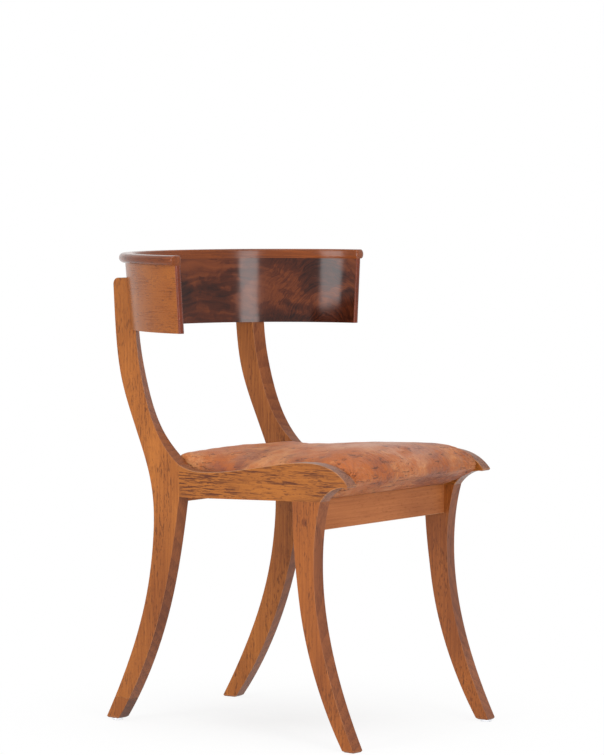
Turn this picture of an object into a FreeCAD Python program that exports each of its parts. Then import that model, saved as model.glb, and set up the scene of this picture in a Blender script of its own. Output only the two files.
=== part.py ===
import FreeCAD, Part
import math
import os

from FreeCAD import Placement, Rotation, Vector

# A klismos dining chair: two splayed plank side frames with sabre legs and scrolled
# seat rails, a horseshoe backrest let into notches in the stiles, and a stuffed
# leather slip seat that lifts straight out. Millimetres, +Z up, front towards -Y.
# The sitter's right-hand side is -X. The origin is on the floor under the middle.
# Heights are z. v is a level distance forward of the datum line, and u the same
# distance along a side frame, whose thickness is w, counted inwards.

# Side frames
PLANK = 23.0            # thickness of the side frames' timber
SPLAY = 3.57            # degrees by which each side frame turns out towards the front
HALF_REAR = 170.5       # outer face of a side frame from the middle, at the datum line
DATUM_Y = 137.0         # the datum line: where the back of the rear leg is furthest in
STILE_TOP = 710.0
STILE_TOP_PLANK = 17.5  # the stile thins to this at its top
THIN_FROM = 440.0       # height at which the stile starts to thin
CROWN_R = 10.0          # round on the back corner of the stile's top
SEAM_U = 54.5           # joint line between the stile and the side rail
RAIL_LOW = 367.5        # underside of the side rail at the stile
RAIL_RISE = 10.5        # rise of that underside towards the front leg
LEG_BACK_U = 287.5      # back edge of the front leg at the rail
LEG_FRONT_U = 342.8     # front edge of the front leg at the rail, foot of the cove
TIP_U = 396.5           # nose of the scroll
TIP_LOW = (394.3, 402.3)    # lower corner of the nose, where the cove starts
COVE_MID = (364.5, 396.5)   # deepest part of the cove

# Edge curves of a side frame as (u, z)
REAR_EDGE = [(-106, 0), (-54.5, 100), (-18, 200), (-1, 300), (0, 348), (-9, 400), (-28, 450),
             (-50, 500), (-69, 553), (-79, 610), (-85.5, STILE_TOP - CROWN_R)]
LEG_FRONT = [(-80.5, 0), (-20, 100), (19, 200), (43, 300), (SEAM_U, RAIL_LOW)]
STILE_FRONT = [(SEAM_U, 418.5), (34.5, 434), (7.5, 468), (-9, 502), (-23, 546), (-32.5, 590),
               (-36.5, 626), (-39.5, STILE_TOP)]
STILE_TWIST = [0, 0, 13, 19, 22, 25, 28, 31]    # degrees the front face turns inward there
FRONT_LEG_BACK = [(291, 300), (297, 250), (305, 200), (335.5, 100), (387.5, 0)]
FRONT_LEG_FRONT = [(LEG_FRONT_U, RAIL_LOW + RAIL_RISE), (336, 350), (330.3, 300), (330.8, 250),
                   (337, 200), (364.5, 100), (409, 0)]
RAIL_TOP = [(SEAM_U, 418.5), (74, 412.2), (106, 410), (150, 413.5), (200, 421), (250, 429.3),
            (295, 435.2), (335, 435.2), (366, 428), (386, 416), (TIP_U, 405)]

# Joints of the side frames
TENON_LONG = 24.0
TENON_W = (7.5, 15.5)
TENON_Z = (376.0, 408.0)
DOWEL_R = 5.0
DOWEL_LONG = 44.0
PEG_SIDES = 8           # hidden pegs and screws have this many sides
DOWEL_U = (301.0, 329.0)

# Feet
SPLICE = (36.0, 42.0)   # glue line of the right rear foot's splice, at its front and back
GLIDE_HIGH = 3.5        # two feet stand on steel glides of this height
GLIDE_R = 9.0
GLIDE_SIDES = 24
GLIDE_BEVEL = 1.0
NAIL_R = 1.1
NAIL_LONG = 14.0
FOOT_EASE = 2.5         # bevel round the bottom of each foot

# Cross rails, each with a stub tenon on both ends
FRONT_RAIL_V = 325.0    # face of the front rail
FRONT_RAIL_LOW = 331.7
REAR_RAIL_V = 4.0       # back of the rear rail
REAR_RAIL_LOW = 356.0
REAR_RAIL_HIGH = 408.0
RAIL_THICK = 24.0
STUB_LONG = 15.0
STUB_THICK = 9.0
STUB_SHOULDER = 8.0     # the stub is lower than its rail by this at top and bottom

# Ledge strips that carry the slip seat
LEDGE_Z = 379.0
CLEAT_WIDE = 18.0
CLEAT_END_GAP = 8.0     # the side strips stop short of the stile by this
CLEAT_FRONT_GAP = 16.0  # and of the front rail by this
REAR_CLEAT_LOW = 365.0
PIN_THICK = 1.8         # the pins are square in section
PIN_BITE = 6.0          # how far a pin enters the rail
PIN_DROP = 2.2          # below the top of the strip
PIN_COUNT = 4
PIN_INSET = 14.0        # from the strip's back end

# Backrest: a horseshoe of conical form, bent from a core, with a veneer on each face
BACK_LOW = 628.5
BACK_HIGH = 734.3
BACK_R = (236.6, 245.0)     # outer radius at the lower and the upper edge
BACK_V = 120.7              # v of the centre
BACK_TURN = 85.9            # degrees from the middle of the back to either end
BACK_THICK = 11.5
VENEER = 1.0
NOTCH_DEEP = 60.0           # clears the stile in front of the backrest
BEAD_HIGH = 15.0            # the bead that caps the backrest
BEAD_PROUD = 10.0           # and how far it stands out behind
BEAD_FLATS = 8              # flats that make the bead's half-round nose
BEAD_SOFT = 2.0             # bevel on the bead's inner upper edge
EDGING_PROUD = 5.0
EDGING_BEVEL = 2.0
EDGING_FLATS = 6

# Screws through the stiles into the backrest, under wooden plugs
SCREW_Z = (652.0, 692.0)
SCREW_W = 8.5           # from the outer face of the stile
SCREW_R = 2.0
SCREW_HEAD_R = 4.0
SCREW_HEAD_LONG = 4.0
SCREW_BITE = 7.0        # how far the screws reach into the core
PLUG_LONG = 5.0

# Slip seat
SEAT_GAP = 1.0          # clearance to the rails
SEAT_REAR_V = 29.0
SEAT_LOW = 379.3
SEAT_FOOT_V = 333.0     # where the seat's underside starts to rise under the scroll
LEATHER = 1.6

# The seat's outline from back to front. Each point has its v and z at the middle, how far
# it falls back and down towards the side rails, how late it falls, and which way the form
# under the leather draws in there, as shares of the leather's thickness in v and z.
SEAT_OUTLINE = {
    "shoulder": (29.0, 422.0, 0.0, 13.0, 12, 1.0, 0.0),
    "back_roll": (33.5, 435.5, 0.0, 14.0, 12, 0.7, -0.7),
    "back_top": (50.0, 441.5, 4.0, 19.0, 12, 0.0, -1.0),
    "hollow": (195.0, 444.5, 0.0, 26.5, 5, 0.0, -1.0),
    "front_top": (334.0, 452.8, 8.0, 15.8, 8, 0.0, -1.0),
    "front_roll": (370.0, 441.0, 6.0, 10.0, 8, -0.7, -0.7),
    "nose": (389.0, 412.0, 2.0, 1.0, 8, -1.0, 0.0),
    "under": (379.0, 401.0, 0.0, 0.0, 1, -1.0, 0.4),
    "cove": (356.0, 390.6, 0.0, 0.0, 1, -0.5, 0.8),
}
CROSS_SHARES = (0.7, 0.8, 0.88, 0.94, 1.0)  # sections across the seat, of its half width

# Slip frame, webbing and bottom cloth
BAR_TOP = 400.0
BAR_WIDE = 44.0
BAR_FRONT_V = FRONT_RAIL_V - RAIL_THICK - 4     # back of the front bar
PEG_R = 4.0
PEG_LONG = 32.0
PEG_INSETS = (14.0, 32.0)
WEB_THICK = 1.2
WEB_WIDE = 50.0
WEB_LONG_X = (-80.0, 0.0, 80.0)
WEB_CROSS_V = (100.0, 185.0, 270.0)
WEB_LAP = 12.0          # the webbing stops short of the frame's edge by this
CLOTH_THICK = 0.5
FLANGE_WIDE = 25.0      # leather turned in under the seat
CLOTH_LAP = 2.0         # the bottom cloth laps over the leather by this
TACK_R = 3.0
TACK_HIGH = 0.8
TACK_SIDES = 6
TACK_INSET = 5.0        # from the edge of the cloth
TACK_ROWS = 6

FORWARD = Vector(0, -1, 0)
REACH = 500.0           # larger than any distance on the chair from its middle


# Placing

def on_right(shape):
    """Move a shape from a side frame's own plane (u, inward, z) to the right side."""
    placed = shape.copy()
    frame = Placement(Vector(-HALF_REAR, DATUM_Y, 0), Rotation(Vector(0, 0, 1), -90 - SPLAY))
    placed.Placement = frame.multiply(placed.Placement)
    return placed


def mirrored(shape):
    """The same shape on the other side of the chair."""
    return shape.mirror(Vector(0, 0, 0), Vector(1, 0, 0))


def pair(shapes):
    """Shapes of the right side with their mirror images, as one compound."""
    return Part.makeCompound(shapes + [mirrored(s) for s in shapes])


def without(shape, cutters):
    """Cut several solids out of a shape."""
    for cutter in cutters:
        shape = shape.cut(cutter)
    return shape


def on_chair(u, w):
    """x and v of a point of the right side frame."""
    a = math.radians(SPLAY)
    return -HALF_REAR - u * math.sin(a) + w * math.cos(a), u * math.cos(a) + w * math.sin(a)


def inner_half(v, inset=0.0):
    """Half the clear width between the side frames at v, less an inset on each side."""
    a = math.radians(SPLAY)
    return HALF_REAR + v * math.tan(a) - (PLANK + inset) / math.cos(a)


def at(x, v, z):
    """A point of the chair from its distance forward of the datum line."""
    return Vector(x, DATUM_Y - v, z)


def prism(corners, direction):
    """Extrude a flat polygon."""
    return Part.Face(Part.makePolygon(corners + corners[:1])).extrude(direction)


def facets(centre, radius, sides, along):
    """A regular polygon round an axis along X, Y or Z, with its first flat square to it."""
    a, b = [e for e in (Vector(1, 0, 0), Vector(0, 1, 0), Vector(0, 0, 1)) if abs(e.dot(along)) < 0.5]
    turn = 2 * math.pi / sides
    reach = radius / math.cos(turn / 2)
    corners = [centre + a * reach * math.cos((k + 0.5) * turn) + b * reach * math.sin((k + 0.5) * turn)
               for k in range(sides)]
    return Part.makePolygon(corners + corners[:1])


def peg(start, direction, length, radius, sides=PEG_SIDES):
    """A straight peg with flat sides, as wide across them as a round one."""
    return Part.Face(facets(start, radius, sides, direction)).extrude(direction * length)


def taper(start, direction, length, radii, sides=PEG_SIDES):
    """A peg that tapers between two radii."""
    ends = [facets(start, radii[0], sides, direction),
            facets(start + direction * length, radii[1], sides, direction)]
    return Part.makeLoft(ends, True, True)


def block(x, v, z):
    """A square block between pairs of limits in x, v and z."""
    return Part.makeBox(x[1] - x[0], v[1] - v[0], z[1] - z[0], at(x[0], v[1], z[0]))


def slab(v, z):
    """A block across the whole chair."""
    return block((-REACH, REACH), v, z)


def tapered_block(v, z, inset):
    """A block between the side frames, with its ends parallel to their inner faces."""
    near, far = inner_half(v[0], inset), inner_half(v[1], inset)
    corners = [at(near, v[0], z[0]), at(far, v[1], z[0]), at(-far, v[1], z[0]), at(-near, v[0], z[0])]
    return prism(corners, Vector(0, 0, z[1] - z[0]))


# Outlines in a side frame's own plane

def spline(points):
    """A smooth edge through points in space."""
    curve = Part.BSplineCurve()
    curve.interpolate(Points=points)
    return curve.toShape()


def curve(points):
    """A smooth edge through (u, z) points."""
    return spline([Vector(u, 0, z) for u, z in points])


def line(a, b):
    """A straight edge between two (u, z) points."""
    return Part.makeLine(Vector(a[0], 0, a[1]), Vector(b[0], 0, b[1]))


def arc(a, b, c):
    """An arc through three (u, z) points."""
    return Part.Arc(*[Vector(u, 0, z) for u, z in (a, b, c)]).toShape()


def plank(edges):
    """Saw a plank of the side frames' thickness to an outline."""
    face = Part.Face(Part.Wire(Part.__sortEdges__(edges)))
    return face.extrude(Vector(0, PLANK, 0))


def rail_underside(u):
    """Height of the side rail's straight lower edge."""
    return RAIL_LOW + RAIL_RISE * (u - SEAM_U) / (LEG_FRONT_U - SEAM_U)


# Side frames

def twist_waste():
    """Wood in front of the stile's front face, which turns inward as it rises."""
    margin = 1.0
    across = PLANK + 2 * margin
    outer = [Vector(u, -margin, z) for u, z in STILE_FRONT]
    inner = [Vector(u - across * math.tan(math.radians(turn)), PLANK + margin, z)
             for (u, z), turn in zip(STILE_FRONT, STILE_TWIST)]
    front = Part.makeRuledSurface(spline(outer), spline(inner))
    return front.extrude(Vector(SEAM_U - STILE_FRONT[-1][0], 0, 0))


def thinning_waste():
    """Wood taken off the stile's inner face, more and more towards its top."""
    high = STILE_TOP + 1
    taken = (PLANK - STILE_TOP_PLANK) * (high - THIN_FROM) / (STILE_TOP - THIN_FROM)
    corners = [Vector(-REACH, PLANK, THIN_FROM), Vector(-REACH, PLANK + 1, THIN_FROM),
               Vector(-REACH, PLANK + 1, high), Vector(-REACH, PLANK - taken, high)]
    return prism(corners, Vector(2 * REACH, 0, 0))


def rail_tenon():
    """Stub tenon on the back end of the side rail."""
    return Part.makeBox(TENON_LONG + 1, TENON_W[1] - TENON_W[0], TENON_Z[1] - TENON_Z[0],
                        Vector(SEAM_U - TENON_LONG, TENON_W[0], TENON_Z[0]))


def rear_leg(back_screws):
    """Right rear leg and stile in one plank, notched and bored for the backrest."""
    top_back = (REAR_EDGE[-1][0] + CROWN_R, STILE_TOP)
    mid = CROWN_R * (1 - math.sqrt(0.5))
    blank = plank([
        line(REAR_EDGE[0], LEG_FRONT[0]),
        curve(LEG_FRONT),
        line(LEG_FRONT[-1], STILE_FRONT[0]),
        curve(STILE_FRONT),
        line(STILE_FRONT[-1], top_back),
        arc(top_back, (REAR_EDGE[-1][0] + mid, STILE_TOP - mid), REAR_EDGE[-1]),
        curve(REAR_EDGE),
    ])
    leg = on_right(without(blank, [twist_waste(), thinning_waste(), rail_tenon()]))
    notch = horseshoe(0, NOTCH_DEEP, BACK_LOW, STILE_TOP + 1)
    bores = []
    for z in SCREW_Z:
        x, back_v, _ = screw_line(z)
        bores.append(peg(at(x, back_v - PLUG_LONG, z), FORWARD, 2 * PLUG_LONG, SCREW_HEAD_R))
    return without(leg, [notch] + bores + back_screws)


def side_rail():
    """Side rail with its scrolled front end and the cove under the scroll."""
    cove_foot = FRONT_LEG_FRONT[0]
    return plank([
        line((SEAM_U, RAIL_LOW), STILE_FRONT[0]),
        curve(RAIL_TOP),
        line(RAIL_TOP[-1], TIP_LOW),
        arc(TIP_LOW, COVE_MID, cove_foot),
        line(cove_foot, (SEAM_U, RAIL_LOW)),
    ]).fuse(rail_tenon()).removeSplitter()


def front_leg():
    """Front sabre leg, which stands under the rail's front end."""
    back = [(LEG_BACK_U, rail_underside(LEG_BACK_U))] + FRONT_LEG_BACK
    return plank([
        line(back[0], FRONT_LEG_FRONT[0]),
        curve(FRONT_LEG_FRONT),
        line(FRONT_LEG_FRONT[-1], back[-1]),
        curve(back),
    ])


def leg_dowels():
    """Dowels between the front leg and the side rail."""
    return [peg(Vector(u, PLANK / 2, rail_underside(u) - DOWEL_LONG / 2), Vector(0, 0, 1),
                DOWEL_LONG, DOWEL_R)
            for u in DOWEL_U]


# Feet

def glide(u):
    """Steel glide under a foot of the right side, and its nail."""
    up = Vector(0, 0, 1)
    rim = taper(Vector(u, PLANK / 2, 0), up, GLIDE_BEVEL, (GLIDE_R - GLIDE_BEVEL, GLIDE_R), GLIDE_SIDES)
    disc = peg(Vector(u, PLANK / 2, GLIDE_BEVEL), up, GLIDE_HIGH - GLIDE_BEVEL, GLIDE_R, GLIDE_SIDES)
    nail = peg(Vector(u, PLANK / 2, GLIDE_HIGH), up, NAIL_LONG, NAIL_R)
    return on_right(rim.fuse(disc).removeSplitter()), on_right(nail)


def foot_eased(leg, low):
    """Bevel the edges round the bottom of a foot."""
    bottom = [e for e in leg.Edges if e.BoundBox.ZMax < low + 0.01]
    return leg.makeChamfer(FOOT_EASE, bottom)


def foot_on_glide(leg):
    """Cut a foot short by the height of its glide, and bevel it."""
    short = leg.cut(slab((-REACH, REACH), (0, GLIDE_HIGH)))
    return foot_eased(short, GLIDE_HIGH)


def below_splice():
    """The space under the glue line of the right rear foot."""
    corners = [Vector(REAR_EDGE[0][0] - 40, -1, SPLICE[1]), Vector(0, -1, SPLICE[0]),
               Vector(0, -1, -1), Vector(REAR_EDGE[0][0] - 40, -1, -1)]
    return on_right(prism(corners, Vector(0, PLANK + 2, 0)))


# Cross rails and ledges

def cross_rail(v, z):
    """Board between the side frames with a stub tenon on each end, and the stubs alone."""
    middle = (v[0] + v[1]) / 2
    stub = tapered_block((middle - STUB_THICK / 2, middle + STUB_THICK / 2),
                         (z[0] + STUB_SHOULDER, z[1] - STUB_SHOULDER), -STUB_LONG)
    return tapered_block(v, z, 0).fuse(stub).removeSplitter(), stub


def side_cleat():
    """Ledge strip glued inside the right rail, shallower towards the front."""
    back = SEAM_U + CLEAT_END_GAP
    front = FRONT_RAIL_V - RAIL_THICK - CLEAT_FRONT_GAP
    corners = [Vector(back, PLANK, rail_underside(back)), Vector(front, PLANK, rail_underside(front)),
               Vector(front, PLANK, LEDGE_Z), Vector(back, PLANK, LEDGE_Z)]
    return on_right(prism(corners, Vector(0, CLEAT_WIDE, 0)))


def cleat_pins():
    """Pins that hold the right ledge strip to its rail."""
    first = SEAM_U + CLEAT_END_GAP + PIN_INSET
    last = FRONT_RAIL_V - RAIL_THICK - CLEAT_FRONT_GAP - 3 * PIN_INSET
    step = (last - first) / (PIN_COUNT - 1)
    return [on_right(Part.makeBox(
                PIN_THICK, CLEAT_WIDE + PIN_BITE, PIN_THICK,
                Vector(first + step * n, PLANK - PIN_BITE, LEDGE_Z - PIN_DROP - PIN_THICK)))
            for n in range(PIN_COUNT)]


# Backrest

def back_radius(z):
    """Radius of the backrest's outer face at a height."""
    return BACK_R[0] + (BACK_R[1] - BACK_R[0]) * (z - BACK_LOW) / (BACK_HIGH - BACK_LOW)


def at_end(r, z):
    """A point in the plane of the backrest's left end, at a radius and a height."""
    a = math.radians(BACK_TURN)
    return at(r * math.sin(a), BACK_V - r * math.cos(a), z)


def swept_back(section, turn):
    """Sweep a section from the plane of the left end round towards the right."""
    return section.revolve(at(0, BACK_V, 0), Vector(0, 0, 1), turn)


def horseshoe(outer, inner, low=BACK_LOW, high=BACK_HIGH):
    """A layer of the horseshoe between two depths below its outer face."""
    corners = [at_end(back_radius(z) - depth, z)
               for z, depth in ((low, outer), (high, outer), (high, inner), (low, inner))]
    return swept_back(Part.Face(Part.makePolygon(corners + corners[:1])), 2 * BACK_TURN)


def screw_line(z):
    """x of a back screw, v of the stile's back there, and v of the backrest's outer face."""
    (low_u, low_z), (high_u, high_z) = REAR_EDGE[-2:]
    u = low_u + (high_u - low_u) * (z - low_z) / (high_z - low_z)
    x, back_v = on_chair(u, SCREW_W)
    return x, back_v, BACK_V - math.sqrt(back_radius(z) ** 2 - x ** 2)


def screws_and_plugs():
    """Screws of the right stile, each with the plug that covers its head."""
    screws = []
    plugs = []
    for z in SCREW_Z:
        x, back_v, face_v = screw_line(z)
        head_v = back_v + PLUG_LONG
        neck_v = head_v + SCREW_HEAD_LONG
        head = taper(at(x, head_v, z), FORWARD, SCREW_HEAD_LONG, (SCREW_HEAD_R, SCREW_R))
        shank = peg(at(x, neck_v, z), FORWARD, face_v + SCREW_BITE - neck_v, SCREW_R)
        screws.append(head.fuse(shank).removeSplitter())
        plugs.append(peg(at(x, back_v, z), FORWARD, PLUG_LONG, SCREW_HEAD_R))
    return screws, plugs


def bead_section(inset=0.0):
    """Outline of the bead in the plane of the left end, drawn in by an inset except below."""
    low, top = BACK_HIGH, BACK_HIGH + BEAD_HIGH - inset
    inner, nose = BACK_R[1] - BACK_THICK + inset, BACK_R[1] + BEAD_PROUD - inset
    half = (top - low) / 2
    corners = [at_end(inner, low)]
    for k in range(BEAD_FLATS + 1):
        a = math.pi * (k / BEAD_FLATS - 0.5)
        corners.append(at_end(nose - half + half * math.cos(a), low + half + half * math.sin(a)))
    corners += [at_end(inner + BEAD_SOFT, top), at_end(inner, top - BEAD_SOFT)]
    return Part.makePolygon(corners + corners[:1])


def left_bead():
    """Left half of the bead over the backrest, which meets the right half behind."""
    return swept_back(Part.Face(bead_section()), BACK_TURN)


def left_end_edging():
    """Rounded strip over the left end of the backrest, with the bead's stopped end."""
    a = math.radians(BACK_TURN)
    onward = Vector(math.cos(a), -math.sin(a), 0)
    rings = []
    for z in (BACK_LOW, BACK_HIGH):
        outer = back_radius(z)
        corners = []
        for k in range(EDGING_FLATS + 1):
            a = math.pi * k / EDGING_FLATS
            across = outer - BACK_THICK / 2 * (1 + math.cos(a))
            corners.append(at_end(across, z) + onward * EDGING_PROUD * math.sin(a))
        rings.append(Part.makePolygon(corners + corners[:1]))
    strip = Part.makeLoft(rings, True, True)
    stop = Part.Face(bead_section()).extrude(onward * (EDGING_PROUD - EDGING_BEVEL))
    ends = [bead_section(), bead_section(EDGING_BEVEL)]
    ends[0].translate(onward * (EDGING_PROUD - EDGING_BEVEL))
    ends[1].translate(onward * EDGING_PROUD)
    return strip.fuse([stop, Part.makeLoft(ends, True, True)]).removeSplitter()


# Slip seat

def pad_section(share, inset, low):
    """Outline of the seat from back to front, at a share of its half width."""
    middle = inner_half(0, SEAT_GAP + inset) * share
    slope = inner_half(1, SEAT_GAP + inset) * share - middle

    def point(v, z):
        return at(middle + slope * v, v, z)

    def outline(name):
        v, z, back, down, power, in_v, in_z = SEAT_OUTLINE[name]
        fall = abs(share) ** power
        return point(v - back * fall + in_v * inset, z - down * fall + in_z * inset)

    heel = point(SEAT_REAR_V + inset, low)
    foot = point(SEAT_FOOT_V, low)
    return Part.Wire([
        Part.makeLine(foot, heel),
        Part.makeLine(heel, outline("shoulder")),
        Part.Arc(outline("shoulder"), outline("back_roll"), outline("back_top")).toShape(),
        Part.Arc(outline("back_top"), outline("hollow"), outline("front_top")).toShape(),
        Part.Arc(outline("front_top"), outline("front_roll"), outline("nose")).toShape(),
        Part.makeLine(outline("nose"), outline("under")),
        Part.Arc(outline("under"), outline("cove"), foot).toShape(),
    ])


def pad_form(inset, low):
    """The stuffed seat's form, drawn in by an inset all over and cut off below."""
    shares = [-s for s in reversed(CROSS_SHARES)] + list(CROSS_SHARES)
    return Part.makeLoft([pad_section(s, inset, low) for s in shares], True, True)


def slip_frame(inside):
    """Four bars of the slip frame, shaped to the seat's inner form."""
    z = (SEAT_LOW + LEATHER, BAR_TOP)
    back_v = SEAT_REAR_V + BAR_WIDE
    well = tapered_block((back_v, BAR_FRONT_V), z, SEAT_GAP + LEATHER + BAR_WIDE)
    ring = inside.common(slab((0, REACH), z)).cut(well)
    sides = ring.common(slab((back_v, BAR_FRONT_V), z)).Solids
    right, left = sorted(sides, key=lambda s: s.CenterOfMass.x)
    return {
        "slip_frame_rear": ring.common(slab((0, back_v), z)),
        "slip_frame_front": ring.common(slab((BAR_FRONT_V, REACH), z)),
        "slip_frame_left": left,
        "slip_frame_right": right,
    }


def corner_pegs():
    """Dowels across the corners of the slip frame."""
    z = (SEAT_LOW + LEATHER + BAR_TOP) / 2
    places = [(side * inner_half(v, SEAT_GAP + inset), v)
              for v in (SEAT_REAR_V + BAR_WIDE, BAR_FRONT_V)
              for side in (-1, 1)
              for inset in PEG_INSETS]
    return [peg(at(x, v - PEG_LONG / 2, z), FORWARD, PEG_LONG, PEG_R) for x, v in places]


def webbing():
    """Webbing on the slip frame: strips front to back, and strips across on top."""
    half = WEB_WIDE / 2
    ends = (SEAT_REAR_V + WEB_LAP, SEAT_FOOT_V)
    low, middle, high = BAR_TOP, BAR_TOP + WEB_THICK, BAR_TOP + 2 * WEB_THICK
    along = [block((x - half, x + half), ends, (low, middle)) for x in WEB_LONG_X]
    across = [tapered_block((v - half, v + half), (middle, high), SEAT_GAP + WEB_LAP)
              for v in WEB_CROSS_V]
    return Part.makeCompound(along), Part.makeCompound(across)


def bottom_cloth_and_tacks():
    """Cloth under the seat, and the tacks along its edge."""
    inset = FLANGE_WIDE - CLOTH_LAP
    v = (SEAT_REAR_V + inset, BAR_FRONT_V + 1)
    low = SEAT_LOW - CLOTH_THICK
    cloth = tapered_block(v, (low, SEAT_LOW), SEAT_GAP + inset)
    run = v[1] - v[0] - 2 * TACK_INSET
    places = []
    for n in range(TACK_ROWS):
        row = v[0] + TACK_INSET + run * n / (TACK_ROWS - 1)
        edge = inner_half(row, SEAT_GAP + inset + TACK_INSET)
        count = TACK_ROWS if n in (0, TACK_ROWS - 1) else 2
        places += [(edge * (2 * k / (count - 1) - 1), row) for k in range(count)]
    tacks = [peg(at(x, row, low - TACK_HIGH), Vector(0, 0, 1), TACK_HIGH, TACK_R, TACK_SIDES)
             for x, row in places]
    return cloth, Part.makeCompound(tacks)


# Sub-assemblies

def backrest_pieces(screws, plugs):
    """The bent backrest with its veneers, bead, end edgings and fastenings."""
    both = screws + [mirrored(s) for s in screws]
    bead = left_bead()
    edging = left_end_edging()
    return {
        "backrest_core": without(horseshoe(VENEER, BACK_THICK - VENEER), both),
        "backrest_outer_veneer": without(horseshoe(0, VENEER), both),
        "backrest_inner_veneer": horseshoe(BACK_THICK - VENEER, BACK_THICK),
        "top_bead_right": mirrored(bead),
        "top_bead_left": bead,
        "end_edging_left": edging,
        "end_edging_right": mirrored(edging),
        "backrest_screws": pair(screws),
        "screw_plugs": pair(plugs),
    }


def frame_pieces(screws):
    """The legs, rails, ledges and glides of the standing frame."""
    front_board, front_stubs = cross_rail((FRONT_RAIL_V - RAIL_THICK, FRONT_RAIL_V),
                                          (FRONT_RAIL_LOW, LEDGE_Z))
    rear_board, rear_stubs = cross_rail((REAR_RAIL_V, REAR_RAIL_V + RAIL_THICK),
                                        (REAR_RAIL_LOW, REAR_RAIL_HIGH))
    dowels = leg_dowels()
    pins = cleat_pins()
    hind = rear_leg(screws).cut(rear_stubs)
    fore = on_right(without(front_leg(), dowels)).cut(front_stubs)
    rail = without(on_right(without(side_rail(), dowels)), pins)
    cleat = without(side_cleat(), pins)

    hind_u = (REAR_EDGE[0][0] + LEG_FRONT[0][0]) / 2 + GLIDE_HIGH
    fore_u = (FRONT_LEG_BACK[-1][0] + FRONT_LEG_FRONT[-1][0]) / 2 - GLIDE_HIGH / 2
    hind_disc, hind_nail = glide(hind_u)
    fore_disc, fore_nail = [mirrored(s) for s in glide(fore_u)]
    spliced = foot_on_glide(hind)
    splice = below_splice()
    rear_ledge = tapered_block((REAR_RAIL_V + RAIL_THICK, REAR_RAIL_V + RAIL_THICK + CLEAT_WIDE),
                               (REAR_CLEAT_LOW, LEDGE_Z), 0)
    return {
        "rear_foot_splice_right": spliced.common(splice).cut(hind_nail),
        "rear_leg_right": spliced.cut(splice),
        "rear_leg_left": foot_eased(mirrored(hind), 0),
        "front_leg_right": foot_eased(fore, 0),
        "front_leg_left": foot_on_glide(mirrored(fore)).cut(fore_nail),
        "side_rail_right": rail,
        "side_rail_left": mirrored(rail),
        "leg_dowels": pair([on_right(d) for d in dowels]),
        "front_rail": front_board,
        "rear_rail": rear_board,
        "seat_cleat_right": cleat,
        "seat_cleat_left": mirrored(cleat),
        "seat_cleat_rear": rear_ledge,
        "cleat_pins": pair(pins),
        "glide_rear_right": hind_disc,
        "glide_front_left": fore_disc,
        "glide_nails": Part.makeCompound([hind_nail, fore_nail]),
    }


def seat_pieces():
    """The slip seat: bars and pegs, webbing, stuffing, leather and bottom cloth."""
    inside = pad_form(LEATHER, SEAT_LOW + LEATHER)
    opening = tapered_block((SEAT_REAR_V + FLANGE_WIDE, BAR_FRONT_V - 1),
                            (SEAT_LOW - 1, SEAT_LOW + LEATHER + 1), SEAT_GAP + FLANGE_WIDE)
    pegs = corner_pegs()
    along, across = webbing()
    cloth, tacks = bottom_cloth_and_tacks()
    pieces = {
        "seat_cover": pad_form(0, SEAT_LOW).cut(inside).cut(opening),
        "seat_padding": inside.common(slab((0, REACH), (BAR_TOP + 2 * WEB_THICK, REACH))),
    }
    for name, bar in slip_frame(inside).items():
        pieces[name] = without(bar, pegs)
    pieces.update({
        "slip_frame_dowels": Part.makeCompound(pegs),
        "webbing_long": along,
        "webbing_cross": across,
        "bottom_cloth": cloth,
        "cloth_tacks": tacks,
    })
    return pieces


def build():
    """Every piece of the chair, by name."""
    screws, plugs = screws_and_plugs()
    return {**frame_pieces(screws), **backrest_pieces(screws, plugs), **seat_pieces()}


def main():
    """Build the chair and write each piece."""
    os.makedirs("parts", exist_ok=True)
    for name, shape in build().items():
        shape.exportStep("parts/%s.step" % name)
        print("%-24s solids %2d valid %s volume %9.0f" % (
            name, len(shape.Solids), shape.isValid(), shape.Volume))


main()
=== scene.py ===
"""A klismos dining chair, dressed for a studio photograph.

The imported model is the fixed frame. Each sub-assembly of the chair is a class that builds its own
pieces round that frame and finishes them: the splayed side frames, the cross rails, the horseshoe
backrest, the feet and the leather slip seat. Lengths are metres, +Z is up, the chair faces -Y and
the sitter's right-hand side is -X.
"""
from __future__ import annotations

import logging
import math
from dataclasses import dataclass, field, replace
from enum import Enum
from typing import Any, Callable, ClassVar, Iterable, Mapping, Sequence, Union

import bmesh
import bpy
from mathutils import Matrix, Vector, noise

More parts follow.
